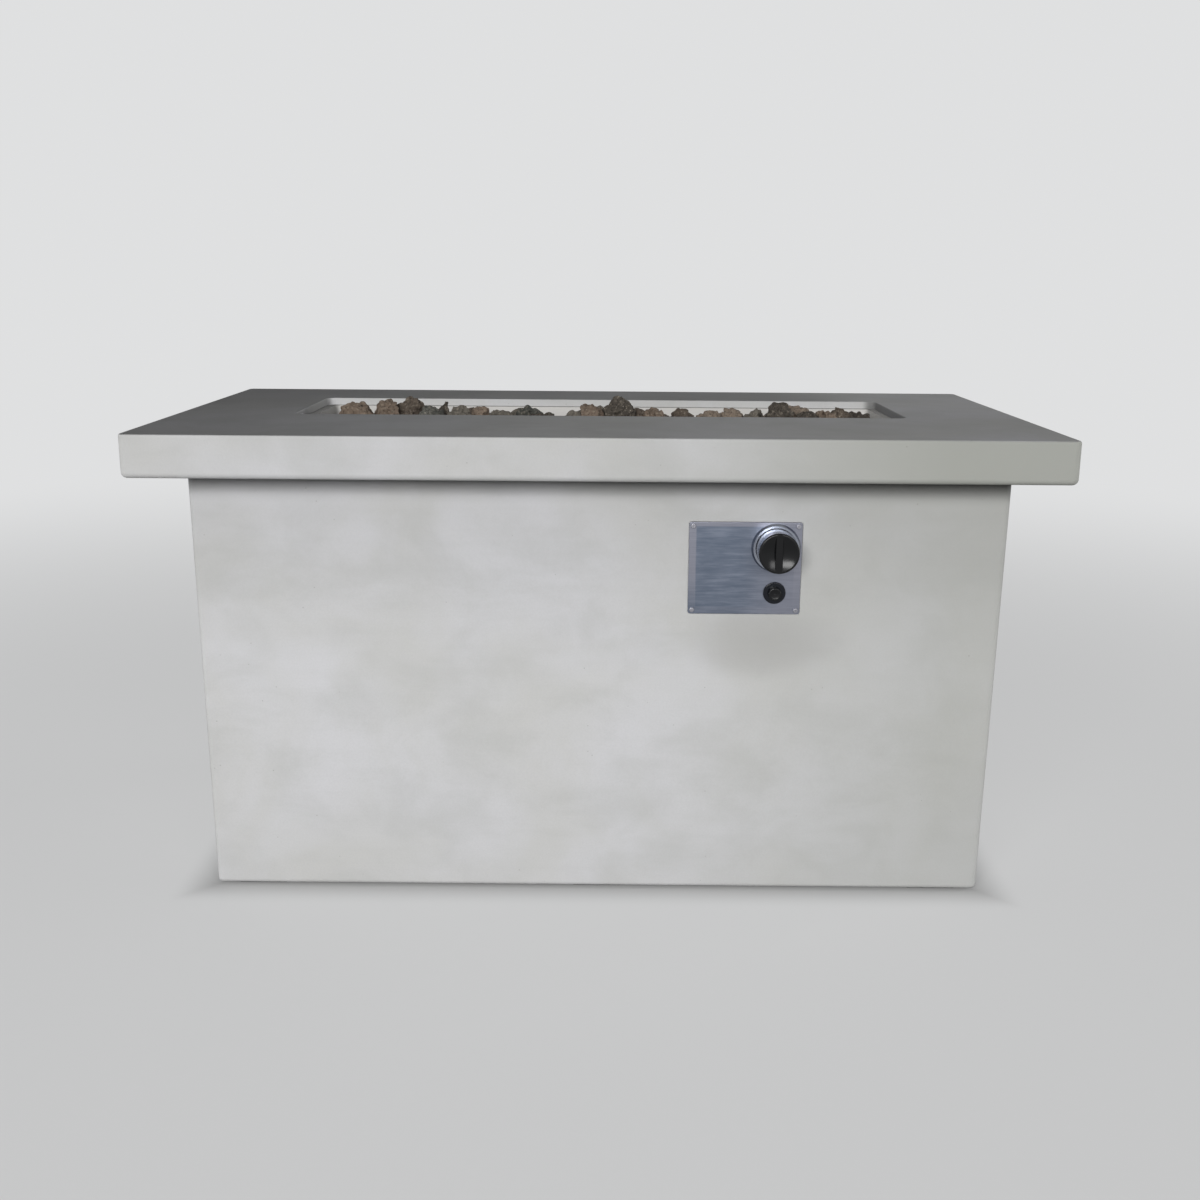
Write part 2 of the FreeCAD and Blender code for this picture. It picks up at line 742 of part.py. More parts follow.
def valve_body():
    top = -plate_thickness - bonnet_thickness
    low = top - valve_depth
    body = plate_up((0, 0), 2 * valve_half_width, 2 * valve_half_height, 5.0, low, top)
    for side in (-1, 1):
        stud = rod(fitting_radius, valve_half_width + fitting_length, vec(0, 0, -fitting_depth), vec(side, 0, 0))
        hexed = prism(jet_hex, 5.0, vec(side * valve_half_width, 0, -fitting_depth), vec(side, 0, 0))
        body = body.fuse(stud).fuse(hexed)
    passage = 4.0
    for side in (-1, 1):
        body = body.cut(rod(passage, valve_half_width + fitting_length - 8,
                            vec(side * 8.0, 0, -fitting_depth), vec(side, 0, 0)))
    body = body.cut(rod(8.0, top - chamber_end, vec(0, 0, chamber_end), vec(0, 0, 1)))
    body = body.cut(rod(stem_radius + running_clearance, 5.0, vec(0, 0, chamber_end - 4), vec(0, 0, 1)))
    rod_end = stem_low - 16.0 - knob_travel - 1
    body = body.cut(rod(rod_radius + running_clearance, chamber_end - rod_end, vec(0, 0, rod_end), vec(0, 0, 1)))
    for side in (-1, 1):
        body = body.cut(rod(1.9, 9.0, vec(side * valve_screw_offset, 0, top - 8), vec(0, 0, 1)))
    return moved(body, control_place(knob_z))


def valve_screws():
    pieces = []
    for side in (-1, 1):
        piece = screw(vec(side * valve_screw_offset, 0, 1.2), vec(0, 0, -1), 3.3, 2.0, 1.9, 12.0)
        pieces.append(moved(piece, control_place(knob_z)))
    return Part.makeCompound(pieces)


def igniter_housing():
    bore = button_radius + 0.1
    barrel = rod(barrel_radius, barrel_length, vec(0, 0, -barrel_length), vec(0, 0, 1))
    flange = rod(barrel_flange_radius, barrel_flange, vec(0, 0, 0), vec(0, 0, 1))
    flange = flange.makeFillet(1.4, at_level(flange, barrel_flange))
    body = barrel.fuse(flange)
    body = body.cut(rod(bore, barrel_length - barrel_end + barrel_flange,
                        vec(0, 0, -barrel_length + barrel_end), vec(0, 0, 1)))
    return moved(body, control_place(button_z))


def igniter_nut():
    low = -plate_thickness - 5.0
    nut = prism(2 * barrel_flange_radius, 5.0, vec(0, 0, low), vec(0, 0, 1))
    return moved(nut.cut(rod(barrel_radius, 5.0, vec(0, 0, low), vec(0, 0, 1))), control_place(button_z))


button_low = -4.0


def igniter_button():
    cap = rod(button_radius, button_reach - button_low, vec(0, 0, button_low), vec(0, 0, 1))
    cap = cap.makeFillet(1.8, at_level(cap, button_reach))
    dish = Part.makeSphere(24.0, vec(0, 0, button_reach + 23.2))
    return moved(cap.cut(dish), control_place(button_z))


def battery_top():
    return -barrel_length + barrel_end + 0.2 + battery_length


def igniter_spring():
    space = 0.15
    gap = button_low - battery_top() - 2 * space
    spring = coil_spring(4.6, 0.4, gap, 4)
    spring.Placement = FreeCAD.Placement(vec(0, 0, battery_top() + space), FreeCAD.Rotation())
    return moved(spring, control_place(button_z))


def igniter_battery():
    nub = 1.5
    low = battery_top() - battery_length
    cell = rod(battery_radius, battery_length - nub, vec(0, 0, low), vec(0, 0, 1))
    cell = cell.fuse(rod(2.75, battery_length, vec(0, 0, low), vec(0, 0, 1)))
    return moved(cell, control_place(button_z))


# Pan, burner and gas train

def burner_pan():
    tray = plate_up((0, fire_y), pan_length, pan_width, pan_corner_radius, pan_bottom, ledge_z)
    tray = tray.makeFillet(3.0, at_level(tray, pan_bottom))
    flange = plate_up((0, fire_y), rebate_length - 2 * pan_flange_clearance,
                      rebate_width - 2 * pan_flange_clearance, rebate_corner_radius - pan_flange_clearance,
                      ledge_z, ledge_z + pan_sheet)
    inside = plate_up((0, fire_y), pan_length - 2 * pan_sheet, pan_width - 2 * pan_sheet,
                      pan_corner_radius - pan_sheet, pan_floor, table_height)
    inside = inside.makeFillet(2.0, at_level(inside, pan_floor))
    pan = tray.fuse(flange).cut(inside)
    holes = [rod(hub_radius + 0.3, 10, vec(0, fire_y, pan_bottom - 4), vec(0, 0, 1))]
    for x in (pilot_x, sensor_x):
        holes.append(rod(ceramic_radius + 0.3, 10, vec(x, pilot_y, pan_bottom - 4), vec(0, 0, 1)))
    for sx in (-1, 1):
        for sy in (-1, 1):
            drain = vec(sx * pan_length * 0.42, fire_y + sy * pan_width * 0.36, pan_bottom - 4)
            holes.append(rod(4.0, 10, drain, vec(0, 0, 1)))
    for x, y in spacer_sites():
        holes.append(rod(2.1, 10, vec(x, y, pan_bottom - 4), vec(0, 0, 1)))
    return pan.cut(Part.makeCompound(holes))


def burner_tube():
    half = burner_length / 2
    centre = vec(-half, fire_y, burner_z)
    pipe = rod(burner_radius, burner_length, centre, vec(1, 0, 0))
    hub = rod(hub_radius, burner_z - hub_bottom, vec(0, fire_y, hub_bottom), vec(0, 0, 1))
    tube = pipe.fuse(hub)
    tube = tube.cut(rod(burner_radius - burner_wall, burner_length, centre, vec(1, 0, 0)))
    tube = tube.cut(rod(hub_radius - hub_wall, burner_z - hub_bottom, vec(0, fire_y, hub_bottom), vec(0, 0, 1)))
    ports = []
    count = int((burner_length - 40) / port_pitch)
    for i in range(count + 1):
        x = (i - count / 2) * port_pitch
        for turn in (-38, 38):
            aim = vec(0, math.sin(math.radians(turn)), math.cos(math.radians(turn)))
            ports.append(rod(port_radius, burner_radius + 2, vec(x, fire_y, burner_z), aim))
    return tube.cut(Part.makeCompound(ports))


def burner_end_caps():
    caps = []
    for side in (-1, 1):
        base = vec(side * burner_length / 2, fire_y, burner_z)
        cap = rod(burner_radius + 0.6, 2.0, base, vec(side, 0, 0))
        caps.append(cap)
    return Part.makeCompound(caps)


def burner_saddles():
    pieces = []
    half = burner_radius * 1.4
    for side in (-1, 1):
        x = side * burner_saddle_x
        upright = block((x, fire_y - half, pan_floor), (x + saddle_sheet, fire_y + half, burner_z))
        foot_plate = block((x, fire_y - half, pan_floor), (x + saddle_foot, fire_y + half, pan_floor + 2))
        notch = rod(burner_radius, 2 * saddle_foot, vec(x - saddle_foot, fire_y, burner_z), vec(1, 0, 0))
        pieces.append(upright.fuse(foot_plate).cut(notch))
    return Part.makeCompound(pieces)


def burner_locknut():
    nut = prism(32.0, 6.0, vec(0, fire_y, pan_bottom - 6), vec(0, 0, 1))
    return nut.cut(rod(hub_radius, 6.0, vec(0, fire_y, pan_bottom - 6), vec(0, 0, 1)))


def window_cuts(radius, middle_z):
    """Three upright air windows, cut out of a sleeve round the gas riser."""
    cuts = []
    for turn in (0, 120, 240):
        bar = block((0, -window_width / 2, middle_z - window_height / 2),
                    (radius + 5, window_width / 2, middle_z + window_height / 2))
        bar.rotate(vec(0, 0, 0), vec(0, 0, 1), turn)
        bar.translate(vec(0, fire_y, 0))
        cuts.append(bar)
    return Part.makeCompound(cuts)


def window_z():
    return mixer_bottom + 20.0


def air_mixer():
    body = rod(mixer_radius, mixer_length, vec(0, fire_y, mixer_bottom), vec(0, 0, 1))
    body = body.cut(rod(hub_radius, mixer_top - hub_bottom, vec(0, fire_y, hub_bottom), vec(0, 0, 1)))
    body = body.cut(rod(hub_radius - hub_wall, mixer_length, vec(0, fire_y, mixer_bottom), vec(0, 0, 1)))
    return body.cut(window_cuts(mixer_radius, window_z()))


def air_shutter():
    tall = window_height + 12
    low = window_z() - tall / 2
    bore = mixer_radius + shutter_clearance
    sleeve = ring(shutter_radius, bore, tall, vec(0, fire_y, low), vec(0, 0, 1))
    tab = block((-2.0, -shutter_radius - 9, low), (2.0, -bore - 0.5, low + 6))
    tab.translate(vec(0, fire_y, 0))
    return sleeve.fuse(tab).cut(window_cuts(shutter_radius, window_z()))


def jet_low():
    return mixer_bottom - jet_hex_height - fitting_length


def gas_jet():
    spigot = hub_radius - hub_wall
    hexed = prism(jet_hex, jet_hex_height, vec(0, fire_y, mixer_bottom - jet_hex_height), vec(0, 0, 1))
    top = rod(spigot, jet_spigot, vec(0, fire_y, mixer_bottom), vec(0, 0, 1))
    stud = rod(fitting_radius, fitting_length, vec(0, fire_y, jet_low()), vec(0, 0, 1))
    body = hexed.fuse(top).fuse(stud)
    through = fitting_length + jet_hex_height + jet_spigot + 1
    body = body.cut(rod(4.0, through - jet_hex_height - 1, vec(0, fire_y, jet_low()), vec(0, 0, 1)))
    return body.cut(rod(0.9, through, vec(0, fire_y, jet_low()), vec(0, 0, 1)))


def gas_line_points():
    start_x = knob_x - valve_half_width - fitting_length
    start_y = plate_front + fitting_depth
    low = jet_low() - line_sag
    return [vec(start_x, start_y, knob_z), vec(start_x - line_run, start_y, knob_z),
            vec(line_run * 0.75, start_y + line_run * 0.75, low + line_sag * 0.7),
            vec(0, fire_y - line_run * 1.5, low), vec(0, fire_y, low), vec(0, fire_y, jet_low())]


def gas_line():
    return tube_along(gas_line_points(), line_radius)


def flare_nut(base, direction):
    """A nut over the last of a fitting and the first of the line; base is where the two meet."""
    grip = 10.0
    tail = 9.0
    away = vec(*direction)
    nut = prism(jet_hex - 2, grip + tail, base - away * tail, away)
    nut = nut.cut(rod(fitting_radius, grip, base, away))
    return nut.cut(rod(line_radius, tail + 1, base - away * tail, away))


def flare_nuts():
    points = gas_line_points()
    return Part.makeCompound([flare_nut(points[0], (1, 0, 0)), flare_nut(points[-1], (0, 0, 1))])


def pilot_hood():
    """A slotted cover that keeps the rocks off the spark pin and the flame sensor."""
    sheet = 1.0
    low = (hood_x - hood_length / 2, pilot_y - hood_width / 2)
    high = (low[0] + hood_length, low[1] + hood_width)
    cover = block((low[0], low[1], pan_floor), (high[0], high[1], pan_floor + hood_height))
    cover = cover.cut(block((low[0] + sheet, low[1] + sheet, pan_floor),
                            (high[0] - sheet, high[1] - sheet, pan_floor + hood_height - sheet)))
    slots = []
    for i in range(6):
        x = low[0] + 7 + i * 8
        slots.append(block((x, low[1] - 1, pan_floor + 8), (x + 3, high[1] + 1, pan_floor + hood_height - 8)))
    return cover.cut(Part.makeCompound(slots))


def spark_ceramic():
    low = pan_bottom - 6
    tall = 26.0
    body = rod(ceramic_radius, tall, vec(pilot_x, pilot_y, low), vec(0, 0, 1))
    return body.cut(rod(1.2, tall, vec(pilot_x, pilot_y, low), vec(0, 0, 1)))


def spark_pin():
    return rod(1.2, 40.0, vec(pilot_x, pilot_y, pilot_low), vec(0, 0, 1))


def pilot_bracket():
    """The clamp plate on the pan floor, through which the spark pin and the sensor stand."""
    low = pan_floor
    margin = 12.0
    plate = block((sensor_x - margin, pilot_y - margin, low), (pilot_x + margin, pilot_y + margin, low + 2))
    plate = plate.cut(rod(ceramic_radius, 4.0, vec(pilot_x, pilot_y, low - 1), vec(0, 0, 1)))
    return plate.cut(rod(sensor_radius, 4.0, vec(sensor_x, pilot_y, low - 1), vec(0, 0, 1)))


def sensor_points():
    back = plate_front + valve_depth + plate_thickness + bonnet_thickness
    return [vec(sensor_x, pilot_y, pilot_low + 4), vec(sensor_x, pilot_y, pilot_low - 28),
            vec(sensor_x + 45, pilot_y - 55, knob_z + 4), vec(knob_x - 45, back + 82, knob_z - 4),
            vec(knob_x - 4, back + 50, knob_z + 10), vec(knob_x, back + 2, knob_z + 10)]


def flame_sensor():
    tip = rod(sensor_radius, 32.0, vec(sensor_x, pilot_y, pilot_low), vec(0, 0, 1))
    points = sensor_points()
    end = rod(4.0, 8.0, points[-1] - vec(0, 2, 0), vec(0, 1, 0))
    return tip.fuse(tube_along(points, 1.2)).fuse(end)


def igniter_lead():
    end = vec(knob_x, plate_front + barrel_length, button_z)
    points = [vec(pilot_x, pilot_y, pilot_low), vec(pilot_x, pilot_y, pilot_low - 33),
              vec(pilot_x + 50, pilot_y - 40, button_z + 15), vec(knob_x - 35, end.y + 70, button_z - 12),
              vec(knob_x, end.y + 40, button_z), end]
    return tube_along(points, 1.6)


def spacer_sites():
    half_x = shield_length / 2 - 60
    half_y = shield_width / 2 - 20
    return [(sx * half_x, fire_y + sy * half_y) for sx in (-1, 1) for sy in (-1, 1)]


def heat_shield():
    low = shield_top - 1.0
    lip = 10.0
    half_x = shield_length / 2
    half_y = shield_width / 2
    sheet = block((-half_x, fire_y - half_y, low), (half_x, fire_y + half_y, shield_top))
    for side in (-1, 1):
        edge_low, edge_high = sorted((fire_y + side * half_y, fire_y + side * (half_y - 1)))
        sheet = sheet.fuse(block((-half_x, edge_low, low - lip), (half_x, edge_high, low)))
    holes = [rod(20.0, 10, vec(0, fire_y, low - 4), vec(0, 0, 1))]
    for x in (pilot_x, sensor_x):
        holes.append(rod(7.0, 10, vec(x, pilot_y, low - 4), vec(0, 0, 1)))
    for x, y in spacer_sites():
        holes.append(rod(2.1, 10, vec(x, y, low - 4), vec(0, 0, 1)))
    return sheet.cut(Part.makeCompound(holes))


def shield_spacers():
    return Part.makeCompound([ring(5.0, 2.1, shield_gap, vec(x, y, shield_top), vec(0, 0, 1))
                              for x, y in spacer_sites()])


def shield_screws():
    length = 1.0 + shield_gap + pan_sheet
    return Part.makeCompound([screw(vec(x, y, shield_top - 1), vec(0, 0, 1), 3.6, 2.2, 2.0, length)
                              for x, y in spacer_sites()])


# Lava rocks: cells between scattered points, each cut to an angular lump

def clip(faces, point, normal):
    """Cuts a convex solid, held as loops of points, and keeps what lies behind the plane."""
    kept = []
    rim = []
    for loop in faces:
        sides = [(p - point).dot(normal) for p in loop]
        cut = []
        for i, p in enumerate(loop):
            q = loop[(i + 1) % len(loop)]
            here, there = sides[i], sides[(i + 1) % len(loop)]
            if here <= 0:
                cut.append(p)
            if here * there < 0:
                crossing = p + (q - p) * (here / (here - there))
                cut.append(crossing)
                rim.append(crossing)
        if len(cut) > 2:
            kept.append(cut)
    if rim:
        across = normal.cross(vec(1, 0, 0) if abs(normal.x) < 0.8 else vec(0, 1, 0)).normalize()
        up = normal.cross(across)
        centre = sum(rim[1:], rim[0]) * (1.0 / len(rim))
        rim.sort(key=lambda p: math.atan2((p - centre).dot(up), (p - centre).dot(across)))
        lid = []
        for p in rim:
            if not lid or (p - lid[-1]).Length > 1e-4:
                lid.append(p)
        if (lid[0] - lid[-1]).Length < 1e-4:
            lid.pop()
        if len(lid) > 2:
            kept.append(lid)
    return kept


def box_faces(low, high):
    x0, y0, z0 = low
    x1, y1, z1 = high
    a, b, c, d = vec(x0, y0, z0), vec(x1, y0, z0), vec(x1, y1, z0), vec(x0, y1, z0)
    e, f, g, h = vec(x0, y0, z1), vec(x1, y0, z1), vec(x1, y1, z1), vec(x0, y1, z1)
    return [[a, d, c, b], [e, f, g, h], [a, b, f, e], [b, c, g, f], [c, d, h, g], [d, a, e, h]]


def scatter(low, high, picked, pitch, dice):
    """Points spread over a rectangle: the picked ones first, then each next one far from the rest."""
    points = list(picked)
    count = max(1, round((high[0] - low[0]) * (high[1] - low[1]) / pitch ** 2))
    while len(points) < count:
        best = None
        for _ in range(14):
            spot = (dice.uniform(low[0] + pitch * 0.25, high[0] - pitch * 0.25),
                    dice.uniform(low[1] + pitch * 0.25, high[1] - pitch * 0.25))
            room = min([math.dist(spot, p[:2]) for p in points] + [1e9])
            if best is None or room > best[0]:
                best = (room, spot)
        points.append(best[1])
    return points


def pan_trims():
    """Planes across the pan's rounded corners and floor edges, as (point, outward direction)."""
    low, high = rock_bounds()
    corner = pan_corner_radius - pan_sheet
    bend = 2.0
    trims = []
    for sx, x in ((-1, low[0]), (1, high[0])):
        trims.append((vec(x - sx * bend, 0, pan_floor), vec(sx, 0, -1).normalize()))
        for sy, y in ((-1, low[1]), (1, high[1])):
            trims.append((vec(x - sx * corner, y, 0), vec(sx, sy, 0).normalize()))
    for sy, y in ((-1, low[1]), (1, high[1])):
        trims.append((vec(0, y - sy * bend, pan_floor), vec(0, sy, -1).normalize()))
    return trims


def rock_field(low, high, sites, tops, middle_z, dice, peaks=()):
    """One rock round each site, inside the box from low to high, under its own top height."""
    rocks = []
    peak_dice = random.Random(rock_seed)
    trims = pan_trims()
    seats = [vec(x, y, middle_z + dice.uniform(-5, 5)) for x, y in sites]
    for number, (seat, top) in enumerate(zip(seats, tops)):
        faces = box_faces(low, (high[0], high[1], top))
        near = sorted(seats, key=lambda s: (s - seat).Length)[1:14]
        for other in near:
            away = (other - seat).normalize()
            faces = clip(faces, (seat + other) * 0.5 - away * (rock_gap / 2), away)
        width = 0.5 * sum((s - seat).Length for s in near[:4]) / max(1, min(4, len(near))) if near else 20.0
        heart = vec(seat.x, seat.y, top - min(width, (top - low[2]) * 0.6))
        rise = top - heart.z
        for i in range(13):
            turn = math.radians(dice.uniform(0, 360) if i > 7 else i * 45 + dice.uniform(-18, 18))
            tilt = math.radians(dice.uniform(12, 42) if i < 8 else dice.uniform(45, 82))
            aim = vec(math.cos(turn) * math.cos(tilt), math.sin(turn) * math.cos(tilt), math.sin(tilt))
            reach = math.sqrt((width * 1.12 * math.cos(tilt)) ** 2 + (rise * math.sin(tilt)) ** 2)
            faces = clip(faces, heart + aim * (reach * dice.uniform(0.84, 0.99)), aim)
        if number in peaks:
            for i in range(5):
                turn = math.radians(i * 72 + peak_dice.uniform(-20, 20))
                tilt = math.radians(peak_dice.uniform(36, 50))
                aim = vec(math.cos(turn) * math.cos(tilt), math.sin(turn) * math.cos(tilt), math.sin(tilt))
                faces = clip(faces, vec(seat.x, seat.y, top) + aim * peak_dice.uniform(0.5, 3.0), aim)
        for point, away in trims:
            faces = clip(faces, point, away)
        rocks.append(lump(faces))
    return rocks


# Rocks that stand up above the rest: share of the pan's length, share of its width, height over the table.
# rock_peaks says which of them rise to a point, and rock_dips where along the pan the others lie lower.
standing_rocks = [
    (0.069, 0.36, 10.5), (0.125, 0.40, 12.0), (0.164, 0.46, 17.0), (0.203, 0.36, 5.5),
    (0.226, 0.44, 10.5), (0.251, 0.36, 6.5), (0.287, 0.40, 2.0), (0.324, 0.34, 1.0),
    (0.345, 0.62, -3.0), (0.373, 0.44, 3.5), (0.396, 0.32, -1.5), (0.455, 0.50, 0.0),
    (0.484, 0.40, 8.5), (0.506, 0.60, 2.0), (0.534, 0.42, 19.0), (0.565, 0.56, 1.5),
    (0.595, 0.38, 4.0), (0.646, 0.42, 2.0), (0.691, 0.36, 3.0), (0.731, 0.50, 2.0), (0.774, 0.42, 5.0),
    (0.815, 0.36, 12.0), (0.849, 0.58, 5.5), (0.864, 0.34, 3.0), (0.896, 0.40, 3.0),
    (0.926, 0.52, 5.0), (0.957, 0.36, -0.5),
]
rock_peaks = (2, 4, 14, 20, 25)
rock_dips = [(0.0, 0.035), (0.078, 0.105), (0.387, 0.45), (0.742, 0.76), (0.787, 0.81), (0.925, 0.96)]


def rock_bounds():
    half_x = pan_length / 2 - pan_sheet - rock_gap
    half_y = pan_width / 2 - pan_sheet - rock_gap
    return (-half_x, fire_y - half_y), (half_x, fire_y + half_y)


def lava_rocks_top():
    dice = random.Random(rock_seed)
    low, high = rock_bounds()
    span_x = high[0] - low[0]
    span_y = high[1] - low[1]
    picked = [(low[0] + u * span_x, low[1] + v * span_y) for u, v, _ in standing_rocks]
    tops = [table_height + rise for _, _, rise in standing_rocks]
    sites = scatter(low, high, picked, rock_pitch, dice)
    for x, y in sites[len(picked):]:
        share = (x - low[0]) / span_x
        dip = any(a <= share <= b for a, b in rock_dips)
        sunk = dice.uniform(19, 25) if dip else dice.uniform(6, 17)
        tops.append(table_height - sunk)
    floor = pan_floor + rock_floor
    return Part.makeCompound(rock_field((low[0], low[1], floor), high, sites, tops,
                                        floor + 12, dice, rock_peaks))


def lava_rocks_base():
    dice = random.Random(rock_seed + 1)
    low, high = rock_bounds()
    floor = pan_floor + rock_gap
    top = pan_floor + rock_floor - rock_gap
    clear = burner_radius + rock_rest
    hood_left = hood_x - hood_length / 2 - rock_gap
    hood_right = hood_x + hood_length / 2 + rock_gap
    hood_front = pilot_y - hood_width / 2 - rock_gap
    burner_end = burner_length / 2 + 3
    fields = [((low[0], low[1]), (hood_left, fire_y - clear)),
              ((hood_right, low[1]), (high[0], fire_y - clear)),
              ((hood_left, low[1]), (hood_right, hood_front)),
              ((low[0], fire_y + clear), high),
              ((low[0], fire_y - clear + rock_gap), (-burner_end, fire_y + clear - rock_gap)),
              ((burner_end, fire_y - clear + rock_gap), (high[0], fire_y + clear - rock_gap))]
    rocks = []
    for a, b in fields:
        a = (a[0] + rock_gap / 2, a[1] + rock_gap / 2)
        b = (b[0] - rock_gap / 2, b[1] - rock_gap / 2)
        sites = scatter(a, b, [], rock_pitch, dice)
        tops = [top] * len(sites)
        rocks += rock_field((a[0], a[1], floor), b, sites, tops, (floor + top) / 2, dice)
    return Part.makeCompound(rocks)


# Rear door, its frame, hinges and catch

def frame_screw_sites():
    half_x = door_opening_width / 2 + frame_sheet + frame_flange * 0.68
    half_z = door_opening_height / 2 + frame_sheet + frame_flange * 0.68
    return ([(door_x + sx * half_x, door_z + sz * door_opening_height * 0.2)
             for sx in (-1, 1) for sz in (-1, 1)]
            + [(door_x, door_z + sz * half_z) for sz in (-1, 1)])


def door_frame():
    wide = door_opening_width + 2 * (frame_sheet + frame_flange)
    tall = door_opening_height + 2 * (frame_sheet + frame_flange)
    flange = plate_back((door_x, door_z), wide, tall, door_corner_radius, door_seat_y, door_seat_y + frame_sheet)
    sleeve = plate_back((door_x, door_z), door_opening_width + 2 * frame_sheet,
                        door_opening_height + 2 * frame_sheet, door_corner_radius,
                        door_seat_y - frame_return, door_seat_y + 0.5)
    inside = plate_back((door_x, door_z), door_opening_width, door_opening_height,
                        door_corner_radius - frame_sheet / 2, door_seat_y - frame_return - 1,
                        door_seat_y + frame_sheet + 1)
    frame = flange.fuse(sleeve).cut(inside)
    for x, z in frame_screw_sites():
        frame = frame.cut(rod(2.2, 6, vec(x, door_seat_y - 2, z), vec(0, 1, 0)))
    return frame


def door_frame_screws():
    head = vec(0, -1, 0)
    seat = door_seat_y + frame_sheet
    return Part.makeCompound([screw(vec(x, seat, z), head, 3.6, 0.9 * door_thickness / 6, 2.0, 12.0)
                              for x, z in frame_screw_sites()])


def louvre_heights():
    """Heights of the louvres: one bank near the door's foot and one near its head."""
    reach = door_height / 2 - 55
    return [door_z + side * (reach - i * louvre_pitch) for side in (-1, 1) for i in range(4)]


def rear_door():
    skin = plate_back((door_x, door_z), door_width, door_height, door_corner_radius, door_back_y, door_front_y)
    face = [e for e in skin.Edges if all(abs(v.Y - door_front_y) < 1e-4 for v in e.Vertexes)]
    skin = skin.makeFillet(1.2, face)
    skin = skin.cut(plate_back((door_x, door_z), door_width - 2 * door_sheet, door_height - 2 * door_sheet,
                               door_corner_radius - door_sheet, door_back_y, door_front_y - door_sheet))
    half = louvre_length / 2
    hoods = []
    slots = []
    for z in louvre_heights():
        base = vec(door_x - half, door_front_y - door_sheet, z)
        keep = block((door_x - half, door_front_y - door_sheet, z),
                     (door_x + half, door_front_y + 10, z + louvre_radius + 1))
        solid = rod(louvre_radius, louvre_length, base, vec(1, 0, 0)).common(keep)
        inner_base = base + vec(door_sheet, 0, 0)
        inner = rod(louvre_radius - door_sheet, louvre_length - 2 * door_sheet, inner_base, vec(1, 0, 0))
        hoods.append(solid.cut(inner))
        slots.append(block((door_x - half + door_sheet, door_front_y - 2 * door_sheet, z),
                           (door_x + half - door_sheet, door_front_y + 1, z + louvre_radius - door_sheet - 0.7)))
    return skin.fuse(hoods).cut(Part.makeCompound(slots)).removeSplitter()


def handle_x():
    return door_x + door_width / 2 - 34


def door_handle():
    x = handle_x()
    low = door_z - handle_length / 2
    high = door_z + handle_length / 2
    out = door_front_y + handle_reach
    points = [vec(x, door_front_y, low), vec(x, out, low), vec(x, out, high), vec(x, door_front_y, high)]
    bar = tube_along(points, handle_radius)
    for z in (low, high):
        bar = bar.fuse(rod(handle_radius + 2.5, 2.0, vec(x, door_front_y, z), vec(0, 1, 0)))
    return bar


def catch_edge():
    return door_x + door_opening_width / 2


def door_catch():
    back = door_seat_y - frame_return
    body = plate_back((catch_edge() - 8.0, door_z), 16.0, 44.0, 2.0, back, door_back_y - 1.4)
    magnet = block((catch_edge() - 13, door_back_y - 1.4, door_z - 16),
                   (catch_edge() - 3, door_back_y - 0.9, door_z + 16))
    return body.fuse(magnet)


def door_strike():
    """A channel on the door's inner skin that meets the magnet."""
    left = catch_edge() - 14
    right = catch_edge() - 2
    inner = door_front_y - door_sheet
    tall = 17.0
    near = door_back_y - 0.6
    outer = block((left, near, door_z - tall), (right, inner, door_z + tall))
    return outer.cut(block((left - 1, near + 1.5, door_z - tall + 1.5), (right + 1, inner + 1, door_z + tall - 1.5)))


def hinge_heights():
    return [door_z - hinge_spread / 2 - hinge_knuckle, door_z + hinge_spread / 2 - hinge_knuckle]


def hinge_fixed_knuckles():
    pieces = []
    for z in hinge_heights():
        barrel = rod(hinge_radius, hinge_knuckle, vec(hinge_x, hinge_y, z), vec(0, 0, 1))
        root = block((hinge_x - hinge_radius, door_seat_y + frame_sheet, z),
                     (hinge_x + hinge_radius, hinge_y, z + hinge_knuckle))
        pieces.append(barrel.fuse(root).cut(rod(hinge_pin_radius, hinge_knuckle, vec(hinge_x, hinge_y, z),
                                                vec(0, 0, 1))))
    return Part.makeCompound(pieces)


def hinge_moving_knuckles():
    pieces = []
    for z in hinge_heights():
        low = z + hinge_knuckle + 0.3
        tall = hinge_knuckle - 0.3
        barrel = rod(hinge_radius, tall, vec(hinge_x, hinge_y, low), vec(0, 0, 1))
        arm = block((hinge_x, hinge_y - 3, low), (door_x - door_width / 2, hinge_y + 3, low + tall))
        bore = rod(hinge_pin_radius + running_clearance, tall, vec(hinge_x, hinge_y, low), vec(0, 0, 1))
        pieces.append(barrel.fuse(arm).cut(bore))
    return Part.makeCompound(pieces)


def hinge_pins():
    pieces = []
    for z in hinge_heights():
        pin = rod(hinge_pin_radius, 2 * hinge_knuckle, vec(hinge_x, hinge_y, z), vec(0, 0, 1))
        head = rod(hinge_radius - 0.5, 1.5, vec(hinge_x, hinge_y, z + 2 * hinge_knuckle + 0.2), vec(0, 0, 1))
        neck = rod(hinge_pin_radius, 0.2, vec(hinge_x, hinge_y, z + 2 * hinge_knuckle), vec(0, 0, 1))
        pieces.append(pin.fuse(neck).fuse(head))
    return Part.makeCompound(pieces)


# Bottle tray and rails

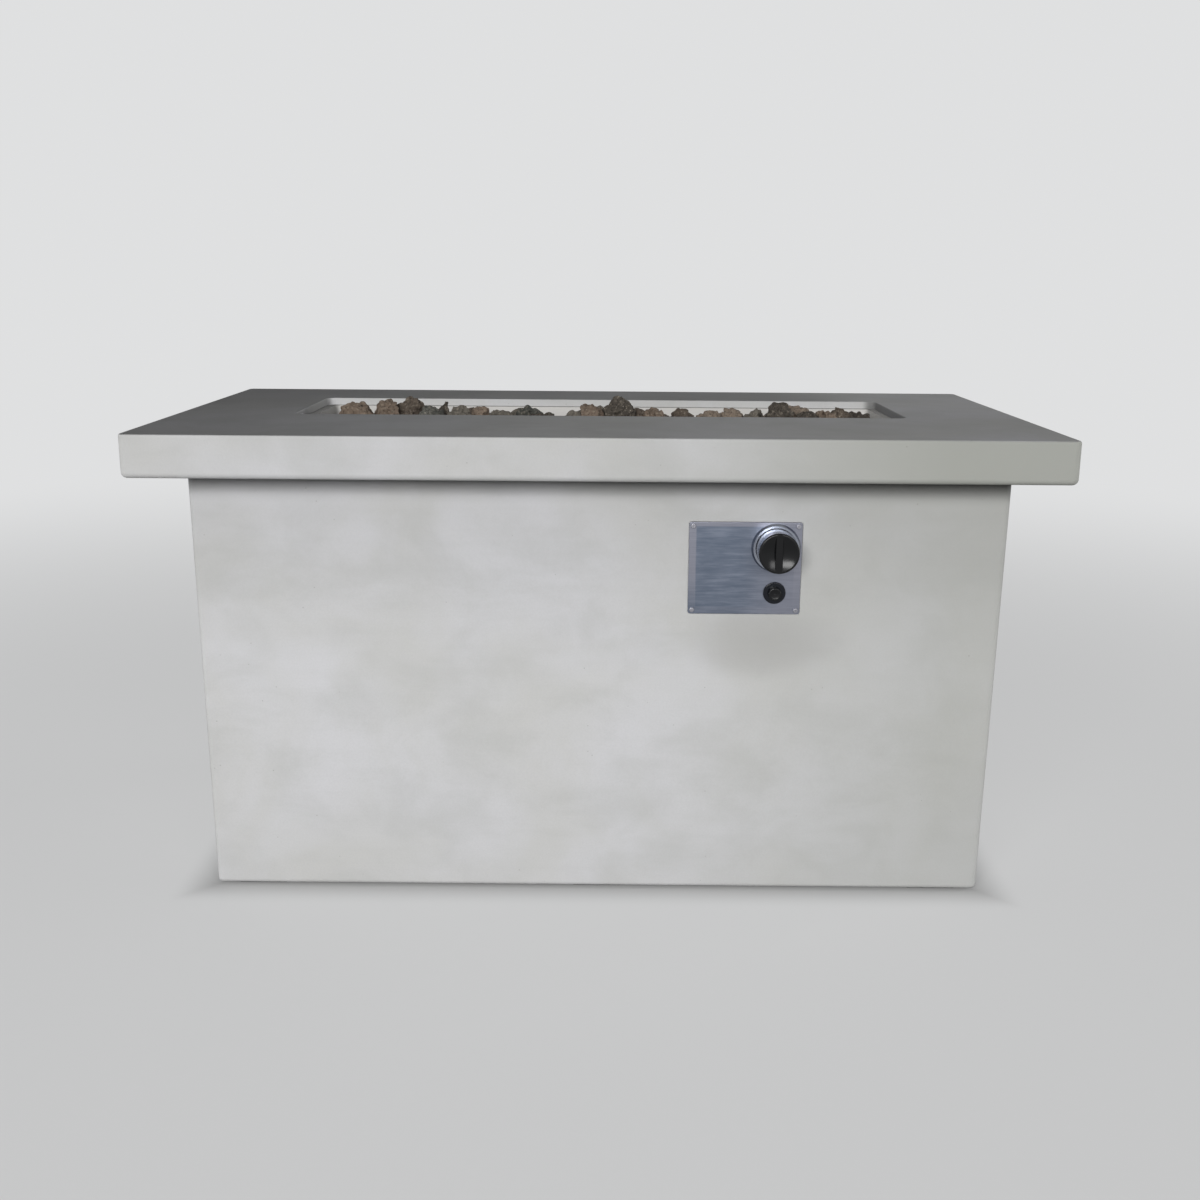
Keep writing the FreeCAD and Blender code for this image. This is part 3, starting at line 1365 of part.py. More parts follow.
def tank_rails():
    rails = []
    end = inner_half_y(rail_z)
    for side in (-1, 1):
        x = door_x + side * rail_spread
        half = rail_width / 2
        rail = block((x - half, -end, rail_z), (x + half, end, rail_z + rail_height))
        rail = rail.cut(block((x - half + rail_sheet, -end + bracket_sheet, rail_z - 1),
                              (x + half - rail_sheet, end - bracket_sheet, rail_z + rail_height - rail_sheet)))
        for wall in (-1, 1):
            near, far = sorted((wall * end, wall * (end - bracket_sheet)))
            wide = rail_plate_width / 2
            rail = rail.fuse(block((x - wide, near, rail_z), (x + wide, far, rail_z + rail_plate_height)))
            for offset in (-rail_plate_width / 3, rail_plate_width / 3):
                rail = rail.cut(rod(insert_bore + 0.2, 10,
                                    vec(x + offset, wall * (end - 5), rail_z + rail_plate_height / 2),
                                    vec(0, wall, 0)))
        rails.append(rail)
    return Part.makeCompound(rails)


def rail_bolts():
    return Part.makeCompound([moved(cap_bolt(vec(0, bracket_sheet, 0), vec(0, -1, 0)), place)
                              for place in rail_bolt_places()])


def tank_tray():
    tray = plate_up((door_x, 0), tray_size, tray_size, 12.0, tray_z, tray_z + tray_sheet)
    return tray.cut(rod(60.0, 10, vec(door_x, 0, tray_z - 2), vec(0, 0, 1)))


def tank_ring():
    return ring(ring_radius, ring_radius - 2, ring_height, vec(door_x, 0, tray_z + tray_sheet), vec(0, 0, 1))


# End vents

def vent_screw_sites():
    half_y = vent_length / 2 - 7
    half_z = vent_height / 2 - 7
    return [(sy * half_y, vent_z + sz * half_z) for sy in (-1, 1) for sz in (-1, 1)]


def end_vents():
    plates = []
    for side in (-1, 1):
        near, far = sorted((side * vent_seat_x, side * (vent_seat_x + vent_sheet)))
        plate = plate_side((0, vent_z), vent_length, vent_height, 3.0, near, far)
        cuts = []
        for i in range(-2, 3):
            cuts.append(plate_side((0, vent_z + i * 2 * vent_slot), vent_length - 2 * vent_bearing - 6, vent_slot,
                                   vent_slot / 2 - 0.01, near - 1, far + 1))
        for y, z in vent_screw_sites():
            cuts.append(rod(1.7, 6, vec(near - 2, y, z), vec(1, 0, 0)))
        plates.append(plate.cut(Part.makeCompound(cuts)))
    return Part.makeCompound(plates)


def end_vent_screws():
    return Part.makeCompound([screw(vec(side * (vent_seat_x + vent_sheet), y, z), vec(-side, 0, 0),
                                    2.8, 1.7, 1.5, 10.0)
                              for side in (-1, 1) for y, z in vent_screw_sites()])


sub_parts = [table_top, pedestal, top_pads, feet, top_brackets, bracket_bolts, cast_inserts,
             control_plate, control_plate_screws, knob_bezel, knob, knob_sleeve, valve_stem, valve_push_rod,
             valve_spring, valve_bonnet, valve_body, valve_screws,
             igniter_housing, igniter_nut, igniter_button, igniter_spring, igniter_battery, igniter_lead,
             burner_pan, burner_tube, burner_end_caps, burner_saddles, burner_locknut, air_mixer, air_shutter,
             gas_jet, gas_line, flare_nuts, pilot_hood, spark_ceramic, spark_pin, pilot_bracket, flame_sensor,
             heat_shield, shield_spacers, shield_screws, lava_rocks_top, lava_rocks_base,
             door_frame, door_frame_screws, rear_door, door_handle, door_catch, door_strike,
             hinge_fixed_knuckles, hinge_moving_knuckles, hinge_pins,
             tank_rails, rail_bolts, tank_tray, tank_ring, end_vents, end_vent_screws]

os.makedirs("parts", exist_ok=True)
for make in sub_parts:
    make().exportStep("parts/" + make.__name__ + ".step")
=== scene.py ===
import json
import math
import random

import bmesh
import bpy
from mathutils import Matrix, Vector

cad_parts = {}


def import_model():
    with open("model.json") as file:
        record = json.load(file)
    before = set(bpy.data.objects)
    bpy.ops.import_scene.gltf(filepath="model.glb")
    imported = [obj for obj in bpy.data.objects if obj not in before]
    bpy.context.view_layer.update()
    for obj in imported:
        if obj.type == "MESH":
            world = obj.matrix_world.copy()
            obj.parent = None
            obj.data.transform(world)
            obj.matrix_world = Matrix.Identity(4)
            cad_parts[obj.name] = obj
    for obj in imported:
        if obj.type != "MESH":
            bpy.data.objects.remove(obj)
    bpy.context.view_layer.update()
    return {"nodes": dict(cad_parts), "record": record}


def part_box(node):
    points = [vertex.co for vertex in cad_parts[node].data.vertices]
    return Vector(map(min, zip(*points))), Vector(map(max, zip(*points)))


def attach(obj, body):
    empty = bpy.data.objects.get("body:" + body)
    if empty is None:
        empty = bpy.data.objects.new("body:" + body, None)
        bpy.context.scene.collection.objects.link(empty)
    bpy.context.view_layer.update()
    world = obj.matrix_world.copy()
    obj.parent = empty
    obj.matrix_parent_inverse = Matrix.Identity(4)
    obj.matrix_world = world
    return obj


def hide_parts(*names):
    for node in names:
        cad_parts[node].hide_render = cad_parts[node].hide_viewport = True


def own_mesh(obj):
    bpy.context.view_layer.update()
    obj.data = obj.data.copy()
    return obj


# Looks of a gas fire pit table. Everything is in metres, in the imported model's frame:
# +X to the right, +Y to the back, +Z up, with the origin on the ground under the table.

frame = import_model()
nodes = frame["nodes"]

# Lava rocks: mesh size, depths of the roughness, and how many of its features go to a metre
rock_voxel = 0.0016
rock_base_voxel = 0.00256
rock_shrink = 0.0004
rock_warp = 0.0120
rock_warp_scale = 27.0
rock_chip = 0.0085
rock_chip_scale = 74.0
rock_knob_depth = 0.0038
rock_knob_scale = 105.0
rock_pit_depth = 0.0032
rock_pit_scale = 165.0
rock_full_size = 0.042
rock_shade_spread = 0.06
rock_seed = 5
rock_rows = 6

# The rocks that stand up above the rest, in the order of their solids from left to right
crest_kinds = ("brown", "brown", "umber", "green", "dark", "grey", "brown", "grey", "grey",
               "green", "dark", "grey", "brown", "grey", "dark", "umber", "brown",
               "umber", "tan", "tan", "grey", "dark", "tan", "dark", "brown", "umber", "dark")
loose_kinds = ("brown", "brown", "umber", "umber", "dark", "grey", "grey", "green", "tan")
# Each kind's shade, from dark to light, and warmth, from grey-green to brown
rock_kinds = {"brown": (0.58, 1.0), "umber": (0.26, 0.75), "dark": (0.10, 0.45),
              "grey": (0.50, 0.30), "green": (0.34, 0.0), "tan": (0.80, 0.80)}

# Springs and merged meshes
weld_distance = 1e-6
spring_sharp_angle = math.radians(50)

# Places on the table that its materials follow: each pair is where a change starts and where it ends
front_wall = (-0.20, -0.23)
wall_greening_and_shade = (-0.05, 0.52)
wall_shade_height = (0.54, 0.26)
eaves_band = (0.503, 0.534)
eaves_length = (-0.3, 0.4)
top_length = (-0.5, 0.4)
top_left_end = (-0.46, -0.34)
top_right_side = (0.24, 0.42)
top_depth = (-0.12, 0.22)
opening_reach_x = 0.43
opening_reach_y = 0.20
opening_blend = (0.0, 0.015)
opening_left_end = (-0.398, -0.404)
opening_right_end = (0.386, 0.398)
pan_left_shade = (-0.384, -0.3925)
upward_normal = (0.6, 0.95)

# The darker patch below the control plate: its centre, and one over its half width and half height
dark_patch_x = 0.205
dark_patch_z = 0.335
dark_patch_tight_x = 9.0
dark_patch_tight_z = 19.0

# Control plate, as distances from its edges: its bare margins, where its satin field runs down over
# the lower margin, and between which two places the field thins out to the right
panel_margin = 0.0085
panel_top_margin = 0.0051
panel_edge = (-0.0008, 0.0012)
panel_bottom_fill = (0.060, 0.004)
panel_fade_left = 0.055
panel_fade_right = 0.012

# Plain colours, linear
concrete_pale = (0.645, 0.645, 0.660)
concrete_warm = (0.590, 0.589, 0.578)
concrete_dark = (0.472, 0.477, 0.462)
concrete_olive_shade = (0.405, 0.412, 0.380)
concrete_patch_dark = (0.330, 0.325, 0.315)
concrete_grain = (0.40, 0.40, 0.39)
concrete_pinhole_shade = (0.20, 0.195, 0.185)
pan_dark = (0.63, 0.615, 0.59)
pan_light = (0.74, 0.725, 0.70)
pan_dust_and_shade = (0.325, 0.318, 0.300)
panel_bare_dark = (0.207, 0.212, 0.252)
panel_bare_light = (0.29, 0.30, 0.345)
panel_satin_dark = (0.086, 0.106, 0.143)
panel_satin_light = (0.185, 0.206, 0.255)
lava_cold_dark = (0.052, 0.053, 0.047)
lava_warm_dark = (0.070, 0.050, 0.038)
lava_cold_light = (0.190, 0.187, 0.163)
lava_warm_light = (0.252, 0.194, 0.148)
lava_fleck = (0.40, 0.35, 0.28)
lava_crystal = (0.55, 0.50, 0.42)
lava_pore_shade = (0.020, 0.017, 0.015)
floor_grey = (0.50, 0.50, 0.496)
floor_pale = (0.48, 0.48, 0.476)
floor_bounce = (0.22, 0.22, 0.218)
backdrop_grey = (0.74, 0.745, 0.75)
ambient_grey = (0.022, 0.023, 0.025)

# Floor: half its side, its glow close by, the distances over which that grows to the backdrop's, and
# the strip at the pedestal's foot where it stops, so that the shadow there shows
floor_half = 9.0
floor_glow = 0.62
floor_fade = (1.0, 3.8)
floor_contact = (-0.03, 0.05)

# Camera
camera_place = (0.0081, -1.8779, 0.7854)
camera_pitch = math.radians(13.718)
camera_yaw = math.radians(-0.217)
camera_roll = math.radians(0.421)
camera_lens = 40.92
camera_sensor = 36.0

# Area lights: name, place, the point each one faces, its two sides, and its power
lights = (
    ("front_left", (-1.3, -5.4, 2.22), (0.0, 0.0, 0.35), (3.4, 1.6), 215.0),
    ("front", (1.9, -5.2, 2.22), (0.0, 0.0, 0.35), (2.4, 1.6), 62.0),
    ("glint", (-1.1, -2.6, 2.9), (0.2, -0.2, 0.45), (0.45, 0.45), 3.0),
    ("right", (5.2, 0.9, 1.45), (0.0, 0.0, 0.5), (2.6, 1.0), 66.0),
    ("left_low", (-5.6, 0.3, 0.40), (0.0, 0.0, 0.29), (3.2, 0.7), 66.0),
    ("right_low", (5.6, 0.3, 0.40), (0.0, 0.0, 0.29), (3.2, 0.7), 36.0),
    ("back_low", (0.4, 5.8, 0.40), (0.0, 0.0, 0.29), (4.0, 0.7), 125.0),
    ("back_high", (-0.8, 5.6, 2.1), (0.0, 0.0, 0.4), (3.2, 1.1), 22.0),
)


# Node helpers

class Number:
    """A float socket of a node tree that takes part in ordinary arithmetic."""

    def __init__(self, graph, socket):
        self.graph = graph
        self.socket = socket

    def maths(self, operation, *values):
        made = self.graph.node("ShaderNodeMath", operation=operation)
        for socket, value in zip(made.inputs, values):
            self.graph.feed(socket, value)
        return Number(self.graph, made.outputs[0])

    def __add__(self, other):
        return self.maths("ADD", self, other)

    def __radd__(self, other):
        return self.maths("ADD", other, self)

    def __sub__(self, other):
        return self.maths("SUBTRACT", self, other)

    def __rsub__(self, other):
        return self.maths("SUBTRACT", other, self)

    def __mul__(self, other):
        return self.maths("MULTIPLY", self, other)

    def abs(self):
        return self.maths("ABSOLUTE", self)

    def least(self, other):
        return self.maths("MINIMUM", self, other)

    def most(self, other):
        return self.maths("MAXIMUM", self, other)

    def span(self, low, high, to_low=0.0, to_high=1.0):
        """Goes smoothly from to_low to to_high while this value goes from low to high."""
        made = self.graph.node("ShaderNodeMapRange", interpolation_type="SMOOTHSTEP")
        for key, value in (("Value", self), ("From Min", low), ("From Max", high),
                           ("To Min", to_low), ("To Max", to_high)):
            self.graph.feed(made.inputs[key], value)
        return Number(self.graph, made.outputs["Result"])


class Graph:
    """Adds nodes to a tree and links them."""

    def __init__(self, tree):
        self.tree = tree

    def node(self, kind, inputs=None, **settings):
        made = self.tree.nodes.new(kind)
        for key, value in settings.items():
            setattr(made, key, value)
        for key, value in (inputs or {}).items():
            self.feed(made.inputs[key], value)
        return made

    def feed(self, socket, value):
        if isinstance(value, Number):
            value = value.socket
        if isinstance(value, bpy.types.NodeSocket):
            self.tree.links.new(value, socket)
        elif socket.type == "RGBA" and len(value) == 3:
            socket.default_value = (*value, 1.0)
        else:
            socket.default_value = value

    def number(self, socket):
        return Number(self, socket)

    def place(self):
        """Where the point lies in the piece's own frame, which is the model's frame."""
        return self.node("ShaderNodeTexCoord").outputs["Object"]

    def parts(self, vector):
        split = self.node("ShaderNodeSeparateXYZ", {0: vector})
        return [self.number(split.outputs[i]) for i in range(3)]

    def facing_up(self):
        """One on faces that look up, and zero on walls."""
        facing = self.node("ShaderNodeNewGeometry").outputs["True Normal"]
        return self.parts(facing)[2].span(*upward_normal)

    def scaled(self, vector, sizes):
        return self.node("ShaderNodeVectorMath", {0: vector, 1: sizes}, operation="MULTIPLY").outputs[0]

    def add(self, first, second):
        return self.node("ShaderNodeVectorMath", {0: first, 1: second}, operation="ADD").outputs[0]

    def dimmed(self, colour, factor):
        """A colour or a vector times a number."""
        made = self.node("ShaderNodeVectorMath", {0: colour}, operation="SCALE")
        self.feed(made.inputs["Scale"], factor)
        return made.outputs[0]

    def drift(self, vector, scale, reach):
        """A smooth vector field, at most about half of reach long, that carries points sideways."""
        noise = self.node("ShaderNodeTexNoise", {"Vector": vector, "Scale": scale, "Detail": 2.0})
        even = self.node("ShaderNodeVectorMath", {0: noise.outputs["Color"], 1: (0.5, 0.5, 0.5)},
                         operation="SUBTRACT")
        return self.dimmed(even.outputs[0], reach)

    def noise(self, vector, scale, detail=3.0, roughness=0.55, distortion=0.0):
        made = self.node("ShaderNodeTexNoise", {"Vector": vector, "Scale": scale, "Detail": detail,
                                                "Roughness": roughness, "Distortion": distortion})
        return self.number(made.outputs[0])

    def cells(self, vector, scale):
        made = self.node("ShaderNodeTexVoronoi", {"Vector": vector, "Scale": scale})
        return self.number(made.outputs["Distance"])

    def tint(self, colour, towards, mask, share):
        """A colour drawn towards another where the mask is one, by a share of the way."""
        return self.mix(mask * share, colour, towards)

    def mix(self, factor, first, second):
        made = self.node("ShaderNodeMix", data_type="RGBA")
        self.feed(made.inputs[0], factor)
        self.feed(made.inputs[6], first)
        self.feed(made.inputs[7], second)
        return made.outputs[2]

    def attribute(self, name):
        return self.number(self.node("ShaderNodeAttribute", attribute_name=name).outputs["Fac"])

    def bump(self, height, distance, strength):
        return self.node("ShaderNodeBump", {"Height": height, "Distance": distance,
                                            "Strength": strength}).outputs[0]

    def surface(self, colour, roughness, metallic, normal, **constants):
        shader = self.node("ShaderNodeBsdfPrincipled", {"Base Color": colour, "Roughness": roughness,
                                                        "Metallic": metallic, "Normal": normal})
        for key, value in constants.items():
            self.feed(shader.inputs[key.replace("_", " ")], value)
        self.closing("ShaderNodeOutputMaterial", shader)

    def closing(self, kind, shader):
        out = self.node(kind)
        self.tree.links.new(shader.outputs[0], out.inputs[0])


def material(name):
    made = bpy.data.materials.new(name)
    made.use_nodes = True
    made.node_tree.nodes.clear()
    return made, Graph(made.node_tree)


# Materials

def concrete(name, roughness, shade=1.0, top_shade=1.0, olive_and_shade=0.52, high=0.925, eaves_shadow=0.40):
    """Sealed cast concrete: cloudy mottling, faint trowel streaks, fine grain and a few pinholes.

    shade dims the walls and top_shade is painted shade on what faces up; high is painted shade on the
    walls' upper end, olive_and_shade how much they go green and darker to the right, partly own tint and
    partly painted shade, and eaves_shadow how dark the painted shadow right below the slab is.
    """
    made, g = material(name)
    place = g.place()
    x, y, z = g.parts(place)
    up = g.facing_up()
    cloud = g.noise(place, scale=4.6, detail=4.0, distortion=0.5)
    stain = g.noise(g.scaled(place, (1.0, 1.0, 1.5)), scale=8.5, detail=5.0, roughness=0.58,
                    distortion=0.4)
    streak = g.noise(g.scaled(place, (2.5, 2.5, 34.0)), scale=2.2, roughness=0.6)
    grain = g.noise(place, scale=420.0, roughness=0.65)
    sparse = g.noise(place, scale=26.0, detail=2.0)
    pinhole = (0.085 - g.cells(place, scale=85.0)).span(0.0, 0.04) * sparse.span(0.57, 0.64)

    colour = g.mix(cloud.span(0.32, 0.68), concrete_warm, concrete_pale)
    colour = g.tint(colour, concrete_dark, stain.span(0.38, 0.70), share=0.36)
    colour = g.tint(colour, concrete_dark, streak.span(0.42, 0.75), share=0.07)

    # The walls, outside the fire opening, go green and darker to the right: partly their own tint, partly
    # painted shade of light falling off to the right
    inside = (opening_reach_x - x.abs()).least(opening_reach_y - y.abs()).span(*opening_blend)
    outer_wall = x.span(*wall_greening_and_shade) * (1.0 - up) * (1.0 - inside)
    colour = g.tint(colour, concrete_olive_shade, outer_wall, share=olive_and_shade)
    # Painted shade darkens the walls' upper end, under the slab, and painted floor bounce lightens their
    # foot
    colour = g.dimmed(colour, z.span(*wall_shade_height, to_low=high, to_high=1.115))
    # Painted shadow on the walls right below the slab, a little darker to the right
    shadow = z.span(*eaves_band) * x.span(*eaves_length, to_low=eaves_shadow * 0.85, to_high=eaves_shadow * 1.3)
    colour = g.dimmed(colour, 1.0 - shadow)

    # A soft darker patch on the front wall, below the control plate
    across = (x - dark_patch_x) * dark_patch_tight_x
    upright = (z - dark_patch_z) * dark_patch_tight_z
    outward = across * across + upright * upright + (stain - 0.5) * 1.6
    dark_patch = (1.0 - outward).span(0.0, 1.1) * y.span(*front_wall)
    colour = g.tint(colour, concrete_patch_dark, dark_patch, share=0.35)
    colour = g.tint(colour, concrete_grain, grain.span(0.3, 0.75), share=0.10)
    # Pinholes painted dark: painted shade inside the holes
    colour = g.tint(colour, concrete_pinhole_shade, pinhole, share=0.35)

    # Painted shade on what faces up: darker overall on the slab, darkest at its left end and behind the
    # opening; and painted shade on the walls at the opening's two ends
    behind = x.span(*top_right_side, to_low=0.60, to_high=1.17)
    top_shade_and_satin_mottle = x.span(*top_length, to_low=top_shade * 0.64, to_high=top_shade * 1.24)
    top_shade_and_satin_mottle = top_shade_and_satin_mottle * x.span(*top_left_end, to_low=0.88, to_high=1.03)
    top_shade_and_satin_mottle = top_shade_and_satin_mottle * y.span(*top_depth, to_low=1.0, to_high=behind)
    # Painted shade on the walls at the opening's ends, deeper at the right end
    end_shade = inside * (x.span(*opening_left_end) * 0.38 + x.span(*opening_right_end) * 0.58)
    colour = g.mix(up, g.dimmed(colour, (1.0 - end_shade) * shade), g.dimmed(colour, top_shade_and_satin_mottle))

    height = stain * 0.15 + grain * 0.12 - pinhole * 0.8
    g.surface(colour, roughness=roughness + (stain - 0.5) * 0.12, metallic=0.0,
              normal=g.bump(height, distance=0.0006, strength=0.45), Specular_IOR_Level=0.16)
    return made


def brush_marks(g, place):
    """Fine lines that run along X, and a slightly cloudy sheen."""
    lines = g.noise(g.scaled(place, (3.0, 260.0, 260.0)), scale=4.0, detail=4.0, roughness=0.7)
    return lines, g.noise(place, scale=9.0)


def brushed(name, base, edge, roughness):
    """Brushed sheet metal."""
    made, g = material(name)
    lines, sheen = brush_marks(g, g.place())
    colour = g.mix(lines.span(0.3, 0.7) * 0.35 + sheen.span(0.35, 0.7) * 0.175, base, edge)
    g.surface(colour, roughness=roughness + (lines - 0.5) * 0.18, metallic=1.0,
              normal=g.bump(lines, distance=0.00006, strength=0.5))
    return made


def pan_sheet(name):
    """The pan's dull drawn steel: pale walls, painted shade at its left end, and a dusty grey that is
    partly painted shade on what faces up.
    """
    made, g = material(name)
    place = g.place()
    lines, sheen = brush_marks(g, place)
    colour = g.mix(lines.span(0.3, 0.7) * 0.35 + sheen.span(0.35, 0.7) * 0.18, pan_dark, pan_light)
    # What faces up turns a dusty grey, partly painted shade
    dust_and_shade = g.facing_up() * (0.88 + (sheen - 0.5) * 0.3)
    colour = g.mix(dust_and_shade, colour, pan_dust_and_shade)
    # Painted shade at the pan's left end
    colour = g.dimmed(colour, 1.0 - g.parts(place)[0].span(*pan_left_shade) * 0.5)
    g.surface(colour, roughness=0.70 + dust_and_shade * 0.15 + (lines - 0.5) * 0.18, metallic=0.15 - dust_and_shade * 0.15,
              normal=g.bump(lines, distance=0.00006, strength=0.5))
    return made


def panel_steel(name):
    """The control plate: brushed steel with a darker satin field inside a plain margin."""
    made, g = material(name)
    place = g.place()
    x, _, z = g.parts(place)
    low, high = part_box("control_plate")
    rim = (x - (low[0] + panel_margin)).least((high[0] - panel_margin) - x)
    rim = rim.least(z - (low[2] + panel_margin)).least((high[2] - panel_top_margin) - z)
    bottom = z.span(*(low[2] + reach for reach in panel_bottom_fill))
    field = rim.span(*panel_edge).most(bottom * 0.8)
    field = field * x.span(low[0] + panel_fade_left, high[0] - panel_fade_right, to_low=1.0, to_high=0.25)
    lines = g.noise(g.scaled(place, (9.0, 150.0, 420.0)), scale=3.0, detail=4.0, roughness=0.7)
    sheen = g.noise(g.scaled(place, (1.0, 1.0, 2.2)), scale=24.0, roughness=0.6)
    bands = g.noise(g.scaled(place, (8.0, 8.0, 75.0)), scale=3.0, roughness=0.6)
    drawn = lines.span(0.3, 0.7)
    bare = g.mix(drawn * 0.4, panel_bare_dark, panel_bare_light)
    top_shade_and_satin_mottle = drawn * 0.30 + sheen.span(0.35, 0.7) * 0.25 + bands.span(0.42, 0.72) * 0.40
    satin = g.mix(top_shade_and_satin_mottle, panel_satin_dark, panel_satin_light)
    height = lines * 0.5 - field * 0.6
    g.surface(g.mix(field, bare, satin), roughness=0.36 + field * 0.08 + (lines - 0.5) * 0.16,
              metallic=1.0, normal=g.bump(height, distance=0.00006, strength=0.5))
    return made


def metal(name, base, roughness, spot=0.12, grain=560.0):
    """Plated, drawn or cast metal with a fine uneven bloom."""
    made, g = material(name)
    place = g.place()
    bloom = g.noise(place, scale=38.0)
    fine = g.noise(place, scale=grain, detail=2.0)
    colour = g.mix(bloom.span(0.3, 0.72), base, tuple(c * (1 - spot) for c in base))
    g.surface(colour, roughness=roughness + (bloom - 0.5) * spot, metallic=1.0,
              normal=g.bump(fine, distance=0.00005, strength=0.35))
    return made


def moulding(name, base, roughness, fleck=0.25, bump=0.00004, grain=900.0, gloss=0.5):
    """Moulded plastic, rubber or paint: a plain colour with a faint bloom and texture."""
    made, g = material(name)
    place = g.place()
    bloom = g.noise(place, scale=55.0)
    fine = g.noise(place, scale=grain, detail=2.0)
    bright = tuple(min(1.0, c * 1.5 + 0.004) for c in base)
    colour = g.tint(base, bright, bloom.span(0.3, 0.7), share=fleck)
    g.surface(colour, roughness=roughness + (bloom - 0.5) * 0.08, metallic=0.0,
              normal=g.bump(fine, distance=bump, strength=0.4), Specular_IOR_Level=gloss)
    return made


def lava(name):
    """Porous lava rock. Each rock has a shade of its own, from near black to grey-brown and tan."""
    made, g = material(name)
    place = g.place()
    shade = g.attribute("rock_shade")
    warm = g.attribute("rock_warmth")
    patch = g.noise(place, scale=48.0, detail=4.0, roughness=0.62, distortion=0.5)
    fleck = g.noise(place, scale=260.0, roughness=0.7)
    crystal = (0.22 - g.cells(place, scale=210.0)).span(0.0, 0.10) * patch.span(0.45, 0.62)
    pore = (0.34 - g.cells(place, scale=340.0)).span(0.0, 0.18) * fleck.span(0.60, 0.38)
    dark = g.mix(warm, lava_cold_dark, lava_warm_dark)
    light = g.mix(warm, lava_cold_light, lava_warm_light)
    colour = g.mix((shade + (patch - 0.5) * 0.9).span(0.0, 1.0), dark, light)
    colour = g.tint(colour, lava_fleck, fleck.span(0.50, 0.72), share=0.40)
    colour = g.tint(colour, lava_crystal, crystal, share=0.55)
    # Pores painted near black: painted shade inside the holes
    colour = g.tint(colour, lava_pore_shade, pore, share=0.75)
    height = fleck * 0.6 + patch * 0.4 - pore * 1.1
    g.surface(colour, roughness=0.90 + (patch - 0.5) * 0.08, metallic=0.0,
              normal=g.bump(height, distance=0.0010, strength=0.85), Specular_IOR_Level=0.25)
    return made


finishes = {
    "concrete": concrete("concrete", 0.82),
    "concrete_top": concrete("concrete_top", 0.80, shade=0.98, top_shade=0.545, olive_and_shade=1.1, high=1.03,
                             eaves_shadow=0.0),
    "plate_steel": panel_steel("plate_steel"),
    "pan_steel": pan_sheet("pan_steel"),
    "burner_steel": brushed("burner_steel", (0.32, 0.30, 0.27), (0.50, 0.47, 0.42), 0.40),
    "screw_steel": metal("screw_steel", (0.50, 0.50, 0.51), 0.30),
    "spring_steel": metal("spring_steel", (0.42, 0.42, 0.42), 0.35),
    "chrome": metal("chrome", (0.40, 0.42, 0.47), 0.16, spot=0.05),
    "plate_screws": metal("plate_screws", (0.30, 0.30, 0.33), 0.40),
    "bezel_chrome": metal("bezel_chrome", (0.30, 0.32, 0.37), 0.24, spot=0.05),
    "zinc_steel": metal("zinc_steel", (0.50, 0.51, 0.52), 0.42, spot=0.2, grain=240.0),
    "gas_line_steel": metal("gas_line_steel", (0.52, 0.52, 0.50), 0.32),
    "brass": metal("brass", (0.70, 0.52, 0.24), 0.30),
    "copper_tube": metal("copper_tube", (0.62, 0.34, 0.22), 0.32),
    "valve_alloy": metal("valve_alloy", (0.48, 0.48, 0.47), 0.52, spot=0.15, grain=800.0),
    "black_gloss": moulding("black_gloss", (0.0030, 0.0032, 0.0038), 0.20, fleck=0.1, bump=0.00001,
                            gloss=0.29),
    "black_matt": moulding("black_matt", (0.0045, 0.0060, 0.0100), 0.13, fleck=0.1, bump=0.00002,
                           gloss=0.26),
    "magnet_case": moulding("magnet_case", (0.035, 0.035, 0.036), 0.5),
    "battery_skin": moulding("battery_skin", (0.06, 0.07, 0.10), 0.35),
    "rubber": moulding("rubber", (0.022, 0.022, 0.022), 0.78, fleck=0.4, bump=0.0001),
    "lead_sheath": moulding("lead_sheath", (0.10, 0.035, 0.025), 0.55),
    "ceramic": moulding("ceramic", (0.82, 0.81, 0.76), 0.22, fleck=0.15),
    "door_paint": moulding("door_paint", (0.37, 0.37, 0.36), 0.46, fleck=0.06, bump=0.00008, grain=700.0),
    "lava": lava("lava"),
}
# Nodes whose finish isn't that of their material slot
own_finish = {"knob_bezel": "bezel_chrome", "control_plate_screws": "plate_screws"}


# Mesh helpers

def dress(mesh, finish):
    mesh.materials.clear()
    mesh.materials.append(finishes[finish])


def linked(name, data):
    obj = bpy.data.objects.new(name, data)
    bpy.context.collection.objects.link(obj)
    return obj


def welded(node):
    """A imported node's mesh, whose triangles are loose, with its points merged."""
    mesh = bmesh.new()
    mesh.from_mesh(nodes[node].data)
    bmesh.ops.remove_doubles(mesh, verts=mesh.verts, dist=weld_distance)
    return mesh


def evaluated(obj):
    """The mesh that an object's modifiers make; the object goes."""
    made = bpy.data.meshes.new_from_object(obj.evaluated_get(bpy.context.evaluated_depsgraph_get()))
    source = obj.data
    bpy.data.objects.remove(obj)
    bpy.data.meshes.remove(source)
    return made


def smooth_faces(mesh):
    for polygon in mesh.polygons:
        polygon.use_smooth = True


for entry in frame["record"]["subparts"]:
    dress(nodes[entry["node"]].data, own_finish.get(entry["node"], entry["material_slot"]))


# Lava rocks: each solid rock is rounded off and roughened on a fine even mesh

